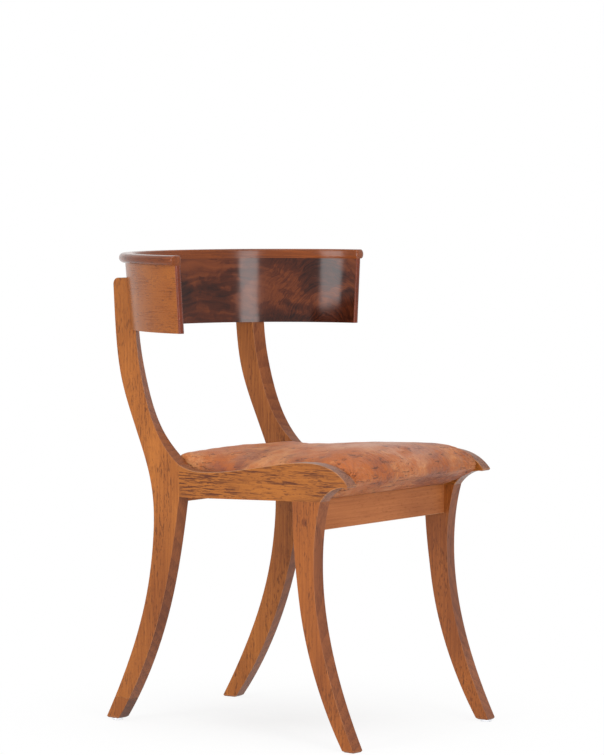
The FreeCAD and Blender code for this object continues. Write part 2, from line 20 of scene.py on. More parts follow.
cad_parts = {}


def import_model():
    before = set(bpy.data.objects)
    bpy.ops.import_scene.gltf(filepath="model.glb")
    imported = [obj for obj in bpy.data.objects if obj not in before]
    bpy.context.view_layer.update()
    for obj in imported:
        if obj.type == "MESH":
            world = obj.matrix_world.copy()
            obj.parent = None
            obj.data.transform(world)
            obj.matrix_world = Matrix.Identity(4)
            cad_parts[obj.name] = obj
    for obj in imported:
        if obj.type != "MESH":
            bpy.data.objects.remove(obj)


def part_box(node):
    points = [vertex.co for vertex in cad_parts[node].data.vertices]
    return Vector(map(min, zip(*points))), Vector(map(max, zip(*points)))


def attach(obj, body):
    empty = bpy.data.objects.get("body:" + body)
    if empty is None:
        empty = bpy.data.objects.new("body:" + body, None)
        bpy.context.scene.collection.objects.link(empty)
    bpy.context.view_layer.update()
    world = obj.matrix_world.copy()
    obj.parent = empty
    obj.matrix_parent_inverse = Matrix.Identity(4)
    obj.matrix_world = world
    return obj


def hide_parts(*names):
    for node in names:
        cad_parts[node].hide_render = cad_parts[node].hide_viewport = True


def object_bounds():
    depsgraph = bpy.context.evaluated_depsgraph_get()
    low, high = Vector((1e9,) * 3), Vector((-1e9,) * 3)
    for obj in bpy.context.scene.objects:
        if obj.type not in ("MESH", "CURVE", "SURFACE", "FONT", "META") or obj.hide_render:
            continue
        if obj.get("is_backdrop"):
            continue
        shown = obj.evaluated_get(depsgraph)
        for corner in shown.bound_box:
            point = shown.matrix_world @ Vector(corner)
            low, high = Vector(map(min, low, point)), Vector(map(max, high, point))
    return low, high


LOG = logging.getLogger("klismos")

Colour = tuple[float, float, float, float]
Number = Union[float, "Socket"]
Points = Sequence[tuple[float, float]]

EDGE_MARK = "worn_edge"
NARROW_MARK = "narrow_face"
UP = Vector((0.0, 0.0, 1.0))
SHARP = math.radians(35)
WHITE = (1.0, 1.0, 1.0, 1.0)


def put(target: Any, settings: Mapping[str, Any]) -> None:
    """Set attributes of a target by their names."""
    for key, setting in settings.items():
        setattr(target, key, setting)


def risen(value: float, low: float, high: float) -> float:
    """How far a value has climbed from low to high, from 0 to 1."""
    return min(max((value - low) / (high - low), 0.0), 1.0)


def srgb(red: int, green: int, blue: int) -> Colour:
    """A colour as a screen shows it, in linear light.

    Args:
        red: Red, 0 to 255.
        green: Green, 0 to 255.
        blue: Blue, 0 to 255.

    Returns:
        The colour for a shader socket, with full alpha.
    """
    def linear(value: int) -> float:
        """One channel in linear light."""
        share = value / 255
        return share / 12.92 if share <= 0.04045 else ((share + 0.055) / 1.055) ** 2.4

    return linear(red), linear(green), linear(blue), 1.0


# Shader arithmetic

class Socket:
    """A node's output that takes part in Python arithmetic."""

    def __init__(self, graph: "Graph", output: bpy.types.NodeSocket | None) -> None:
        """Keep the output and the graph that it belongs to."""
        self.graph = graph
        self.output = output

    def calc(self, operation: str, *others: Number) -> "Socket":
        """Add a Math node that starts from this value.

        Args:
            operation: The Math node's operation.
            others: The values that follow this one.

        Returns:
            The result.
        """
        return self.graph.node("ShaderNodeMath", {"operation": operation},
                               dict(enumerate((self, *others))))

    def __add__(self, other: Number) -> "Socket":
        """This value plus another."""
        return self.calc("ADD", other)

    __radd__ = __add__

    def __sub__(self, other: Number) -> "Socket":
        """This value less another."""
        return self.calc("SUBTRACT", other)

    def __rsub__(self, other: Number) -> "Socket":
        """Another value less this one."""
        return self * -1.0 + other

    def __mul__(self, other: Number) -> "Socket":
        """This value times another."""
        return self.calc("MULTIPLY", other)

    __rmul__ = __mul__

    def __truediv__(self, other: Number) -> "Socket":
        """This value over another."""
        return self.calc("DIVIDE", other)

    def __pow__(self, other: Number) -> "Socket":
        """This value to a power."""
        return self.calc("POWER", other)

    def clamped(self) -> "Socket":
        """This value held between 0 and 1."""
        return self.calc("MINIMUM", 1.0).calc("MAXIMUM", 0.0)

    def above(self, low: float, high: float) -> "Socket":
        """How far this value has climbed from low to high, from 0 to 1, smoothly."""
        return self.graph.node("ShaderNodeMapRange", {"interpolation_type": "SMOOTHSTEP"},
                               {"Value": self, "From Min": low, "From Max": high})

    def below(self, low: float, high: float) -> "Socket":
        """1 where this value is under low, falling to 0 at high."""
        return 1.0 - self.above(low, high)


class Graph:
    """The node tree of a material or of the world."""

    def __init__(self, owner: Union[bpy.types.Material, bpy.types.World]) -> None:
        """Start an empty tree.

        Args:
            owner: What the tree belongs to.
        """
        owner.use_nodes = True
        self.owner = owner
        self.tree = owner.node_tree
        self.tree.nodes.clear()

    @classmethod
    def named(cls, name: str) -> "Graph":
        """The empty tree of a new material."""
        return cls(bpy.data.materials.new(name))

    def node(self, kind: str, settings: Mapping[str, Any] | None = None,
             values: Mapping[Union[str, int], Any] | None = None,
             output: Union[str, int] = 0) -> Socket:
        """Add a node, set it and wire it.

        Args:
            kind: The node's type.
            settings: Its settings. The key stops holds a ramp's positions and colours.
            values: What goes into its sockets, as constants or links.
            output: The socket to go on from.

        Returns:
            The node's output.
        """
        made = self.tree.nodes.new(kind)
        for key, setting in (settings or {}).items():
            if key == "stops":
                ramp = made.color_ramp.elements
                while len(ramp) < len(setting):
                    ramp.new(0.5)
                for element, (position, colour) in zip(ramp, setting):
                    element.position = position
                    element.color = colour
            else:
                setattr(made, key, setting)
        for key, value in (values or {}).items():
            if isinstance(value, Socket):
                self.tree.links.new(value.output, made.inputs[key])
            else:
                made.inputs[key].default_value = value
        return Socket(self, made.outputs[output] if len(made.outputs) else None)

    def point(self) -> Socket:
        """Where the surface is, in the chair's frame."""
        return self.node("ShaderNodeTexCoord", output="Object")

    def along(self, point: Socket, direction: Vector) -> Socket:
        """How far a point lies along a direction."""
        return self.node("ShaderNodeVectorMath", {"operation": "DOT_PRODUCT"},
                         {0: point, 1: direction}, "Value")

    def far(self, point: Socket, place: Vector) -> Socket:
        """How far a point lies from a place."""
        return self.node("ShaderNodeVectorMath", {"operation": "DISTANCE"},
                         {0: point, 1: place}, "Value")

    def joined(self, x: Number, y: Number, z: Number) -> Socket:
        """A vector from three values."""
        return self.node("ShaderNodeCombineXYZ", None, {0: x, 1: y, 2: z})

    def split(self, vector: Socket) -> tuple[Socket, ...]:
        """The three values of a vector.

        Args:
            vector: The vector.

        Returns:
            Its x, y and z.
        """
        first = self.node("ShaderNodeSeparateXYZ", None, {0: vector})
        outputs = first.output.node.outputs
        return tuple(Socket(self, outputs[k]) for k in range(3))

    def noise(self, vector: Socket, scale: float = 1.0, detail: float = 2.0,
              roughness: float = 0.5) -> Socket:
        """Smooth noise about 0.5.

        Args:
            vector: The place.
            scale: Features to the unit of the place.
            detail: How many finer layers it has.
            roughness: How strong those are.

        Returns:
            The noise.
        """
        return self.node("ShaderNodeTexNoise", None,
                         {"Vector": vector, "Scale": scale, "Detail": detail,
                          "Roughness": roughness})

    def noise_at(self, x: Number, y: Number, z: Number, detail: float = 2.0,
                 roughness: float = 0.5) -> Socket:
        """Smooth noise about 0.5 at three values, with one feature to the unit."""
        return self.noise(self.joined(x, y, z), detail=detail, roughness=roughness)

    def cells(self, vector: Socket, scale: float) -> Socket:
        """Distance from the nearest edge of a field of cells."""
        return self.node("ShaderNodeTexVoronoi", {"feature": "DISTANCE_TO_EDGE"},
                         {"Vector": vector, "Scale": scale})

    def mixed(self, share: Number, first: Any, second: Any) -> Socket:
        """Mix two colours.

        Args:
            share: How much of the second colour shows.
            first: The first colour.
            second: The second colour.

        Returns:
            The mixed colour.
        """
        return self.node("ShaderNodeMix", {"data_type": "RGBA"},
                         {0: share, 6: first, 7: second}, 2)

    def mark(self, name: str) -> Socket:
        """A face attribute of the piece, 0 where it has none."""
        return self.node("ShaderNodeAttribute", {"attribute_name": name}, output="Fac")

    def bumped(self, height: Socket, strength: float, depth: float) -> Socket:
        """A normal pushed about by a height.

        Args:
            height: The height, about 0 to 1.
            strength: How much of it shows.
            depth: What a height of 1 is, in metres.

        Returns:
            The normal.
        """
        return self.node("ShaderNodeBump", None,
                         {"Strength": strength, "Distance": depth, "Height": height})

    def finished(self, **sockets: Any) -> bpy.types.Material:
        """Close the tree with a Principled surface.

        Args:
            sockets: Values by socket name, with underscores for blanks.

        Returns:
            The material.
        """
        values = {key.replace("_", " "): value for key, value in sockets.items()}
        surface = self.node("ShaderNodeBsdfPrincipled", None, values)
        self.node("ShaderNodeOutputMaterial", None, {"Surface": surface})
        return self.owner


# Finishes

@dataclass(frozen=True)
class Lie:
    """How a piece of timber lies: which way its faces and its grain point.

    Attributes:
        across: Unit vector over the width of the board.
        through: Unit vector through its thickness.
        grain: Unit vector along the fibres.
        shift: Where in the log the board was cut, in metres.
        knots: Where its knots are, with their radii.
    """

    across: Vector
    through: Vector
    grain: Vector
    shift: float = 0.0
    knots: tuple[tuple[Vector, float], ...] = ()


@dataclass(frozen=True)
class Timber:
    """A polished solid wood.

    Attributes:
        name: The finish's name.
        light: Palest colour of the broad faces.
        dark: Darkest colour of the broad faces.
        pore: Colour of open pores and streaks.
        worn: Colour of rubbed edges.
        narrow: Pale and dark colour of the narrow faces, darker than the broad ones: painted shade.
        rings: Growth rings to the metre.
        ring_depth: How much darker a ring ends than it starts, 0 to 1.
        pores: Strength of the fine pores, 0 to 1.
        streaks: Strength of the long dark streaks, 0 to 1.
        roughness: How dull the polish is.
        edge: How pale the rubbed edges are, 0 to 1.
        fibres: Fibres to the metre, across and along the grain.
        clouds: Broad light and dark patches to the metre, across and along.
        pith: How far the log's middle lies from the board, over its width and its thickness.
        sheen: Strength of the polish's plain reflection.
        pore_deep: Depth of the pores.
    """

    name: str
    light: Colour
    dark: Colour
    pore: Colour
    worn: Colour
    narrow: tuple[Colour, Colour]
    rings: float = 150.0
    ring_depth: float = 0.16
    pores: float = 0.55
    streaks: float = 0.0
    roughness: float = 0.40
    edge: float = 0.5
    fibres: tuple[float, float] = (620.0, 13.0)
    clouds: tuple[float, float] = (17.0, 6.0)
    pith: tuple[float, float] = (0.04, 0.10)
    sheen: float = 0.24
    pore_deep: float = 0.00012

    def material(self, lie: Lie, label: str) -> bpy.types.Material:
        """Finish a board.

        Args:
            lie: How the board lies.
            label: Added to the finish's name.

        Returns:
            The material.
        """
        g = Graph.named(f"{self.name}_{label}")
        point = g.point()
        across = g.along(point, lie.across) + lie.shift
        through = g.along(point, lie.through) + 0.37 * lie.shift
        grain = g.along(point, lie.grain) + 1.7 * lie.shift
        knot = None
        for place, radius in lie.knots:
            near = (g.far(point, place) / radius).below(0.2, 3.0)
            across = across + near * near * radius
            knot = near if knot is None else knot.calc("MAXIMUM", near)
        return self.surface(g, across, through, grain, knot)

    def surface(self, g: Graph, across: Socket, through: Socket, grain: Socket,
                knot: Socket | None = None) -> bpy.types.Material:
        """Paint the board from its own three directions.

        Args:
            g: The material's graph.
            across: Place over the width, in metres.
            through: Place through the thickness.
            grain: Place along the fibres.
            knot: How near a knot is, from 0 to 1.

        Returns:
            The material.
        """
        def noise_at(side: float, length: float, detail: float = 2.0,
                     roughness: float = 0.5) -> Socket:
            """Noise with so many features to the metre across and along the grain."""
            return g.noise_at(across * side, through * side, grain * length, detail, roughness)

        narrow = g.mark(NARROW_MARK)
        sway = noise_at(7.0, 1.8)
        from_pith = ((across + self.pith[0]) ** 2.0 + (through + self.pith[1]) ** 2.0) ** 0.5
        late = ((from_pith + sway * 0.04) * self.rings).calc("FRACT").above(0.15, 1.0)
        fibre = noise_at(*self.fibres, 4.0, 0.62)
        cloud = noise_at(*self.clouds, 4.0)
        depth = narrow * self.ring_depth + self.ring_depth
        tone = (cloud - 0.5) * 1.7 + (fibre - 0.5) * 1.5 + late * depth + 0.40
        if knot is not None:
            tone = tone + knot * knot * 1.1
        tone = tone.clamped()
        # Painted shade: the narrow faces take the darker narrow colours.
        colour = g.mixed(narrow * 0.85, g.mixed(tone, self.light, self.dark),
                         g.mixed(tone, *self.narrow))
        where = noise_at(40.0, 9.0)
        fleck = (noise_at(1300.0, 210.0, 1.0).above(0.60, 0.72) * 0.45
                 + noise_at(480.0, 95.0).above(0.56, 0.66) * where.above(0.34, 0.56)).clamped()
        colour = g.mixed(fleck * self.pores, colour, self.pore)
        height = 1.0 - fleck
        if self.streaks:
            streak = (noise_at(560.0, 30.0, 3.0, 0.6).above(0.50, 0.58)
                      * noise_at(46.0, 8.0).above(0.36, 0.54))
            colour = g.mixed(streak * self.streaks, colour, self.pore)
            height = height - streak * 0.5
        rubbed = g.mark(EDGE_MARK) * where.above(0.25, 0.60)
        colour = g.mixed(rubbed * self.edge, colour, self.worn)
        rough = (cloud * 0.14 + fleck * 0.10 - narrow * 0.08 - rubbed * 0.08
                 + (self.roughness - 0.07))
        return g.finished(Base_Color=colour, Roughness=rough, Specular_IOR_Level=self.sheen,
                          Normal=g.bumped(height, 0.30, self.pore_deep))


@dataclass(frozen=True)
class Veneer:
    """A sheet of wood round the outside of the horseshoe, with short pores along its grain.

    Attributes:
        name: The finish's name.
        deep: Darkest colour of the figure.
        middle: Its usual colour.
        bright: Its lightest colour.
        roughness: How dull the polish is.
        lean: How far the face lies back from its form, as a slope.
        sheen: Strength of the polish's plain reflection.
        ripple: Depth of the slow waves in the polish.
    """

    name: str
    deep: Colour
    middle: Colour
    bright: Colour
    roughness: float
    lean: float = 0.0
    sheen: float = 0.26
    ripple: float = 0.0003

    def material(self, centre_y: float, radius: float) -> bpy.types.Material:
        """Finish a veneer that runs round the back.

        Args:
            centre_y: Where the middle of the horseshoe's curve is.
            radius: Its radius.

        Returns:
            The material.
        """
        g = Graph.named(self.name)
        x, y, z = g.split(g.point())
        length = (y - centre_y).calc("ARCTAN2", x) * radius
        tone, fleck = self.figure(g, length, z)
        colour = g.node("ShaderNodeValToRGB", {"stops": (
            (0.05, self.deep), (0.50, self.middle), (0.95, self.bright))}, {"Fac": tone})
        colour = g.mixed(fleck, colour, self.deep)
        ripple = g.noise_at(length * 26.0, z * 9.0, 2.0, detail=1.0)
        height = ripple * self.ripple - z * self.lean
        return g.finished(Base_Color=colour, Roughness=tone * 0.05 + self.roughness,
                          Specular_IOR_Level=self.sheen, Normal=g.bumped(height, 1.0, 1.0))

    def figure(self, g: Graph, length: Socket, z: Socket) -> tuple[Socket, Socket]:
        """The wood's figure.

        Args:
            g: The material's graph.
            length: Place along the curve, in metres.
            z: Height.

        Returns:
            How light the wood is, and how strongly its pores show.
        """
        cloud = g.noise_at(length * 16.0, z * 22.0, 3.1, detail=3.0)
        fibre = g.noise_at(length * 22.0, z * 500.0, 5.0, detail=3.0, roughness=0.6)
        tone = (cloud.above(0.20, 0.80) * 0.35 + fibre * 0.60 + 0.10).clamped()
        dots = g.noise_at(length * 520.0, z * 520.0, 0.0, detail=1.0)
        dashes = g.noise_at(length * 110.0, z * 520.0, 9.0, detail=2.0)
        where = g.noise_at(length * 30.0, z * 60.0, 6.0, detail=2.0)
        fleck = (dots.above(0.55, 0.66) * 0.50
                 + dashes.above(0.54, 0.64) * where.above(0.40, 0.60) * 0.6)
        return tone, fleck.clamped()


@dataclass(frozen=True)
class FiguredVeneer(Veneer):
    """A crotch veneer: dark flowing streaks that turn into fine arched lines at one end.

    Attributes:
        arches: Where the arched lines centre, along the curve and in height.
        turn_at: Where along the curve the streaks have given way to them, and where they start to.
    """

    arches: tuple[float, float] = (0.070, 0.600)
    turn_at: tuple[float, float] = (0.130, 0.215)

    def figure(self, g: Graph, length: Socket, z: Socket) -> tuple[Socket, Socket]:
        """Streaks along the grain, swirls, and arches of fine lines.

        Args:
            g: The material's graph.
            length: Place along the curve, in metres.
            z: Height.

        Returns:
            How light the wood is, and how strongly its pores show.
        """
        lift = g.noise_at(length * 8.0, z * 14.0, 3.1, detail=2.0) - 0.5
        curl = g.noise_at(length * 26.0, z * 30.0, 8.4, detail=3.0) - 0.5
        level = z + lift * 0.045 + curl * 0.016
        streak = g.noise_at(length * 7.0, level * 120.0, 1.7, detail=4.0, roughness=0.60)
        from_arch = ((length - self.arches[0]) ** 2.0 + ((z - self.arches[1]) * 0.8) ** 2.0) ** 0.5
        ring = from_arch + curl * 0.026 + lift * 0.030
        arched = g.noise_at(ring * 480.0, curl * 6.0, 4.0, detail=3.0, roughness=0.6)
        flow = length.above(*self.turn_at)
        lines = arched + (streak - arched) * flow
        cloud = g.noise_at(length * 15.0 + curl * 2.5, z * 20.0 + curl, 6.0, detail=4.0)
        fine = g.noise_at(length * 60.0, level * 1500.0, 5.0, detail=1.0)
        tone = lines.above(0.28, 0.76) * 0.42 + cloud.above(0.34, 0.66) * 0.52 + fine * 0.20 - 0.10
        return tone.clamped(), fine.above(0.62, 0.75) * 0.25


@dataclass(frozen=True)
class Leather:
    """Old cognac leather, stained and finely cracked.

    Attributes:
        name: The finish's name.
        tan: Its usual colour.
        pale: Where it is rubbed.
        stain: Purple-brown stains.
        crack: The bottoms of cracks.
        grey: A bloom over the part that is sat on most.
        worst: The corner that is stained most.
        rubbed_most: The middle of that bloom.
        stained: How strongly the stains show.
        bloomed: How strongly the bloom shows.
        cracked: How strongly the cracks show.
        lined: How strongly the fine lines at the front show.
        front: Between which places forward those lines start and are full.
        pits: Pits of the hide to the metre.
        sheen: Strength of its plain reflection.
        deep: Depth of the cracks.
    """

    name: str = "aged_leather"
    tan: Colour = srgb(170, 92, 38)
    pale: Colour = srgb(194, 132, 84)
    stain: Colour = srgb(112, 58, 44)
    crack: Colour = srgb(58, 26, 18)
    grey: Colour = srgb(186, 146, 130)
    worst: tuple[float, float, float] = (0.135, -0.195, 0.435)
    rubbed_most: tuple[float, float, float] = (0.02, -0.15, 0.450)
    stained: float = 0.78
    bloomed: float = 0.70
    cracked: float = 0.70
    lined: float = 0.34
    front: tuple[float, float] = (-0.215, -0.150)
    pits: float = 820.0
    sheen: float = 0.36
    deep: float = 0.0007

    def material(self) -> bpy.types.Material:
        """Finish the seat cover.

        Returns:
            The material.
        """
        g = Graph.named(self.name)
        point = g.point()
        x, y, z = g.split(point)
        sway = g.noise(point, scale=16.0, detail=3.0) - 0.5
        broad = g.noise_at(x * 10.0 + sway * 2.0, y * 10.0, z * 14.0, detail=4.0,
                           roughness=0.6)
        mottle = g.noise(point, scale=70.0, detail=5.0, roughness=0.68)
        rubbed = (broad * 0.6 + mottle * 0.4).above(0.44, 0.62)
        colour = g.mixed(rubbed, self.tan, self.pale)
        speck = g.noise(point, scale=420.0, detail=3.0, roughness=0.6)
        colour = g.mixed((speck - 0.44).clamped() * 1.2, colour, self.stain)
        patch = g.noise_at(x * 8.0, y * 12.0, z * 8.0 + 4.0, detail=4.0, roughness=0.6)
        corner = g.far(point, Vector(self.worst)).below(0.02, 0.13)
        stains = (patch + corner * 0.20).above(0.50, 0.66) * mottle.above(0.28, 0.58)
        colour = g.mixed(stains * self.stained, colour, self.stain)
        bloom = g.far(point, Vector(self.rubbed_most)).below(0.01, 0.14) * broad.above(0.34, 0.58)
        colour = g.mixed(bloom * self.bloomed, colour, self.grey)
        front = y.below(*self.front)
        along = (x * 0.6 - y * 0.8) * 42.0 + sway * 7.0
        crease = g.noise_at(along, (x * 0.8 + y * 0.6) * 100.0 + sway * 16.0, z * 300.0,
                            detail=4.0, roughness=0.64)
        lined = g.noise_at(x * 330.0 + sway * 60.0, y * 90.0, z * 60.0 + sway * 25.0,
                           detail=2.0, roughness=0.6)
        worn = g.noise(point, scale=24.0, detail=2.0).above(0.40, 0.54)
        creases = crease.above(0.570, 0.615) * worn
        lines = (lined - 0.5).calc("ABSOLUTE").below(0.0, 0.035) * (front * 0.75 + worn * 0.25)
        colour = g.mixed(creases * self.cracked, colour, self.crack)
        colour = g.mixed(lines * self.lined, colour, self.stain)
        hide = g.cells(point, self.pits).above(0.0, 0.25)
        height = hide * 0.18 - creases * 0.9 - lines * 0.5 + mottle * 0.9
        rough = mottle * 0.22 - broad * 0.08 + 0.44
        return g.finished(Base_Color=colour, Roughness=rough, Specular_IOR_Level=self.sheen,
                          Normal=g.bumped(height, 0.50, self.deep))


class Weave(Enum):
    """Plain-woven cloths, as threads to the metre."""

    CALICO = 1500.0
    JUTE = 420.0


@dataclass(frozen=True)
class Cloth:
    """A plain-woven cloth.

    Attributes:
        name: The finish's name.
        thread: Colour of the threads.
        gap: Colour between the threads.
        weave: How fine it is.
        sheen: Strength of its plain reflection.
        deep: Depth of the weave.
    """

    name: str
    thread: Colour
    gap: Colour
    weave: Weave
    sheen: float = 0.15
    deep: float = 0.0003

    def material(self) -> bpy.types.Material:
        """Finish a flat cloth that lies level.

        Returns:
            The material.
        """
        g = Graph.named(self.name)
        x, y, _ = g.split(g.point())
        turns = self.weave.value * math.pi
        warp = (x * turns).calc("SINE").calc("ABSOLUTE")
        weft = (y * turns).calc("SINE").calc("ABSOLUTE")
        over = warp * weft
        dirt = g.noise_at(x * 16.0, y * 16.0, 0.0, detail=3.0)
        shade = (over * 0.6 + dirt * 0.5).clamped()
        return g.finished(Base_Color=g.mixed(shade, self.gap, self.thread), Roughness=0.92,
                          Specular_IOR_Level=self.sheen,
                          Normal=g.bumped(over, 0.6, self.deep))


@dataclass(frozen=True)
class Metal:
    """A bare or plated metal, scuffed.

    Attributes:
        name: The finish's name.
        bright: Its colour.
        dull: Its colour where it is scuffed.
        roughness: Its roughness where it isn't scuffed.
        deep: Depth of the scuffs.
    """

    name: str
    bright: Colour
    dull: Colour
    roughness: float
    deep: float = 0.0001

    def material(self) -> bpy.types.Material:
        """Finish a small metal piece.

        Returns:
            The material.
        """
        g = Graph.named(self.name)
        scuff = g.noise(g.point(), scale=700.0, detail=3.0).above(0.45, 0.70)
        return g.finished(Base_Color=g.mixed(scuff, self.bright, self.dull), Metallic=1.0,
                          Roughness=scuff * 0.25 + self.roughness,
                          Normal=g.bumped(scuff, 0.2, self.deep))


# Each timber's narrow colours are darker than its broad ones: painted shade on the narrow faces.
LEG_WOOD = Timber("leg_polish", srgb(168, 100, 42), srgb(122, 64, 24), srgb(74, 34, 14),
                  srgb(190, 136, 92), (srgb(140, 80, 44), srgb(98, 50, 27)), edge=0.4, pores=0.62)
FRONT_WOOD = replace(LEG_WOOD, name="front_leg_polish", light=srgb(156, 88, 36),
                     dark=srgb(114, 58, 24))
SPLICE_WOOD = replace(LEG_WOOD, name="splice_polish", light=srgb(162, 96, 42),
                      narrow=(srgb(112, 62, 36), srgb(78, 40, 22)))
RAIL_WOOD = replace(LEG_WOOD, name="rail_polish", light=srgb(164, 98, 38), dark=srgb(124, 68, 26),
                    pore=srgb(74, 32, 16), streaks=0.88, rings=90.0, ring_depth=0.10,
                    narrow=(srgb(146, 98, 74), srgb(112, 70, 50)), edge=0.6)
BOARD_WOOD = replace(LEG_WOOD, name="board_polish", light=srgb(174, 106, 58),
                     dark=srgb(142, 80, 40), pore=srgb(104, 56, 32), pores=0.35,
                     narrow=(srgb(150, 88, 50), srgb(118, 66, 36)), roughness=0.50)
BEAD_WOOD = Timber("bead_polish", srgb(134, 68, 28), srgb(78, 34, 15), srgb(40, 16, 9),
                   srgb(148, 92, 56), (srgb(112, 56, 26), srgb(72, 33, 15)), rings=170.0,
                   roughness=0.16, edge=0.2)
EDGING_WOOD = replace(BEAD_WOOD, name="edging_polish", light=srgb(120, 52, 26),
                      dark=srgb(80, 32, 18), narrow=(srgb(120, 52, 26), srgb(80, 32, 18)),
                      roughness=0.26)
BARE_WOOD = Timber("bare_beech", srgb(196, 160, 116), srgb(170, 128, 86), srgb(132, 92, 58),
                   srgb(205, 172, 130), (srgb(190, 152, 110), srgb(164, 122, 82)), rings=110.0,
                   roughness=0.72, edge=0.1)
INNER_VENEER = FiguredVeneer("inner_veneer_gloss", srgb(36, 13, 8), srgb(76, 33, 16),
                             srgb(116, 58, 27), roughness=0.10, lean=0.055)
OUTER_VENEER = Veneer("outer_veneer_gloss", srgb(74, 32, 14), srgb(142, 78, 28),
                      srgb(162, 96, 38), roughness=0.25)
CALICO = Cloth("bottom_calico", srgb(190, 176, 150), srgb(120, 104, 82), Weave.CALICO)
JUTE = Cloth("jute_webbing", srgb(164, 134, 92), srgb(84, 62, 38), Weave.JUTE)
NICKEL = Metal("nickel_plate", srgb(244, 246, 250), srgb(196, 198, 202), 0.34)
STEEL = Metal("dull_steel", srgb(150, 146, 140), srgb(98, 90, 84), 0.40)


# Mesh tools

class Body(str, Enum):
    """The two bodies of the part that pieces ride on."""

    FRAME = "frame"
    SEAT = "seat"


def node_mesh(name: str) -> bmesh.types.BMesh:
    """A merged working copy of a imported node's mesh.

    Args:
        name: The node.

    Returns:
        Its mesh with doubles merged and flat triangles joined.
    """
    bm = bmesh.new()
    bm.from_mesh(bpy.data.objects[name].data)
    bmesh.ops.remove_doubles(bm, verts=bm.verts[:], dist=2e-6)
    bmesh.ops.dissolve_limit(bm, angle_limit=math.radians(0.6), verts=bm.verts[:],
                             edges=bm.edges[:], delimit=set())
    return bm


def as_mesh(bm: bmesh.types.BMesh, name: str) -> bpy.types.Mesh:
    """Turn a working mesh into a stored one.

    Args:
        bm: The working mesh, which is freed.
        name: The stored one's name.

    Returns:
        The stored mesh.
    """
    mesh = bpy.data.meshes.new(name)
    bm.to_mesh(mesh)
    bm.free()
    return mesh


def linked(name: str, data: bpy.types.ID) -> bpy.types.Object:
    """Put a new object with the given data in the scene.

    Args:
        name: Its name.
        data: Its mesh, light or camera.

    Returns:
        The object.
    """
    made = bpy.data.objects.new(name, data)
    bpy.context.scene.collection.objects.link(made)
    return made


def as_piece(bm: bmesh.types.BMesh, name: str, materials: Sequence[bpy.types.Material],
             body: Body, slot: str, stands_for: Iterable[str] = ()) -> bpy.types.Object:
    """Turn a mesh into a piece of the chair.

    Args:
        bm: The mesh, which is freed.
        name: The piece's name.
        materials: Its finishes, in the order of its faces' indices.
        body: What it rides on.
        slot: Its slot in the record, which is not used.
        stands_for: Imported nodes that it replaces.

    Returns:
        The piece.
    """
    for face in bm.faces:
        face.smooth = True
    for edge in bm.edges:
        edge.smooth = not edge.is_manifold or edge.calc_face_angle(0.0) < SHARP
    mesh = as_mesh(bm, name)
    for material in materials:
        mesh.materials.append(material)
    piece = linked(name, mesh)
    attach(piece, body.value)
    if stands_for:
        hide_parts(*stands_for)
    LOG.info("%s: %d faces", name, len(mesh.polygons))
    return piece


def weighted(piece: bpy.types.Object) -> None:
    """Let a piece's large faces shade flat and its small ones round."""
    put(piece.modifiers.new("weighted", "WEIGHTED_NORMAL"), {"keep_sharp": True, "weight": 80})


def rounded(bm: bmesh.types.BMesh, chosen: Callable[[bmesh.types.BMEdge], bool], radius: float,
            segments: int = 3) -> None:
    """Round the sharp edges that a test picks, and mark them as worn.

    Args:
        bm: The mesh.
        chosen: The test of an edge.
        radius: How far back the rounding starts.
        segments: Its number of steps.
    """
    mark = bm.faces.layers.float.new(EDGE_MARK)
    sharp = [e for e in bm.edges
             if e.is_manifold and e.calc_face_angle(0.0) > SHARP and chosen(e)]
    made = bmesh.ops.bevel(bm, geom=sharp, offset=radius, segments=segments, profile=0.5,
                           affect="EDGES", clamp_overlap=True, material=-1, loop_slide=True)
    for face in made["faces"]:
        face[mark] = 1.0
    bmesh.ops.recalc_face_normals(bm, faces=bm.faces[:])


def mark_narrow(bm: bmesh.types.BMesh, through: Vector) -> None:
    """Mark the narrow faces of a board, which lie square to its broad ones.

    Args:
        bm: The mesh.
        through: The direction through the board's thickness.
    """
    mark = bm.faces.layers.float.new(NARROW_MARK)
    for face in bm.faces:
        face[mark] = 1.0 if abs(face.normal.dot(through)) < 0.7 else 0.0


def dress(name: str, material: bpy.types.Material) -> None:
    """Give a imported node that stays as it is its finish.

    Args:
        name: The node.
        material: The finish.
    """
    mesh = bpy.data.objects[name].data
    mesh.materials.clear()
    mesh.materials.append(material)


def modified(piece: bpy.types.Object, kind: str, **settings: Any) -> None:
    """Add a modifier, set it and apply it.

    Args:
        piece: The object.
        kind: The modifier's type.
        settings: Its settings.
    """
    modifier = piece.modifiers.new(kind.lower(), kind)
    put(modifier, settings)
    bpy.context.view_layer.objects.active = piece
    bpy.ops.object.modifier_apply(modifier=modifier.name)


# Sub-assemblies

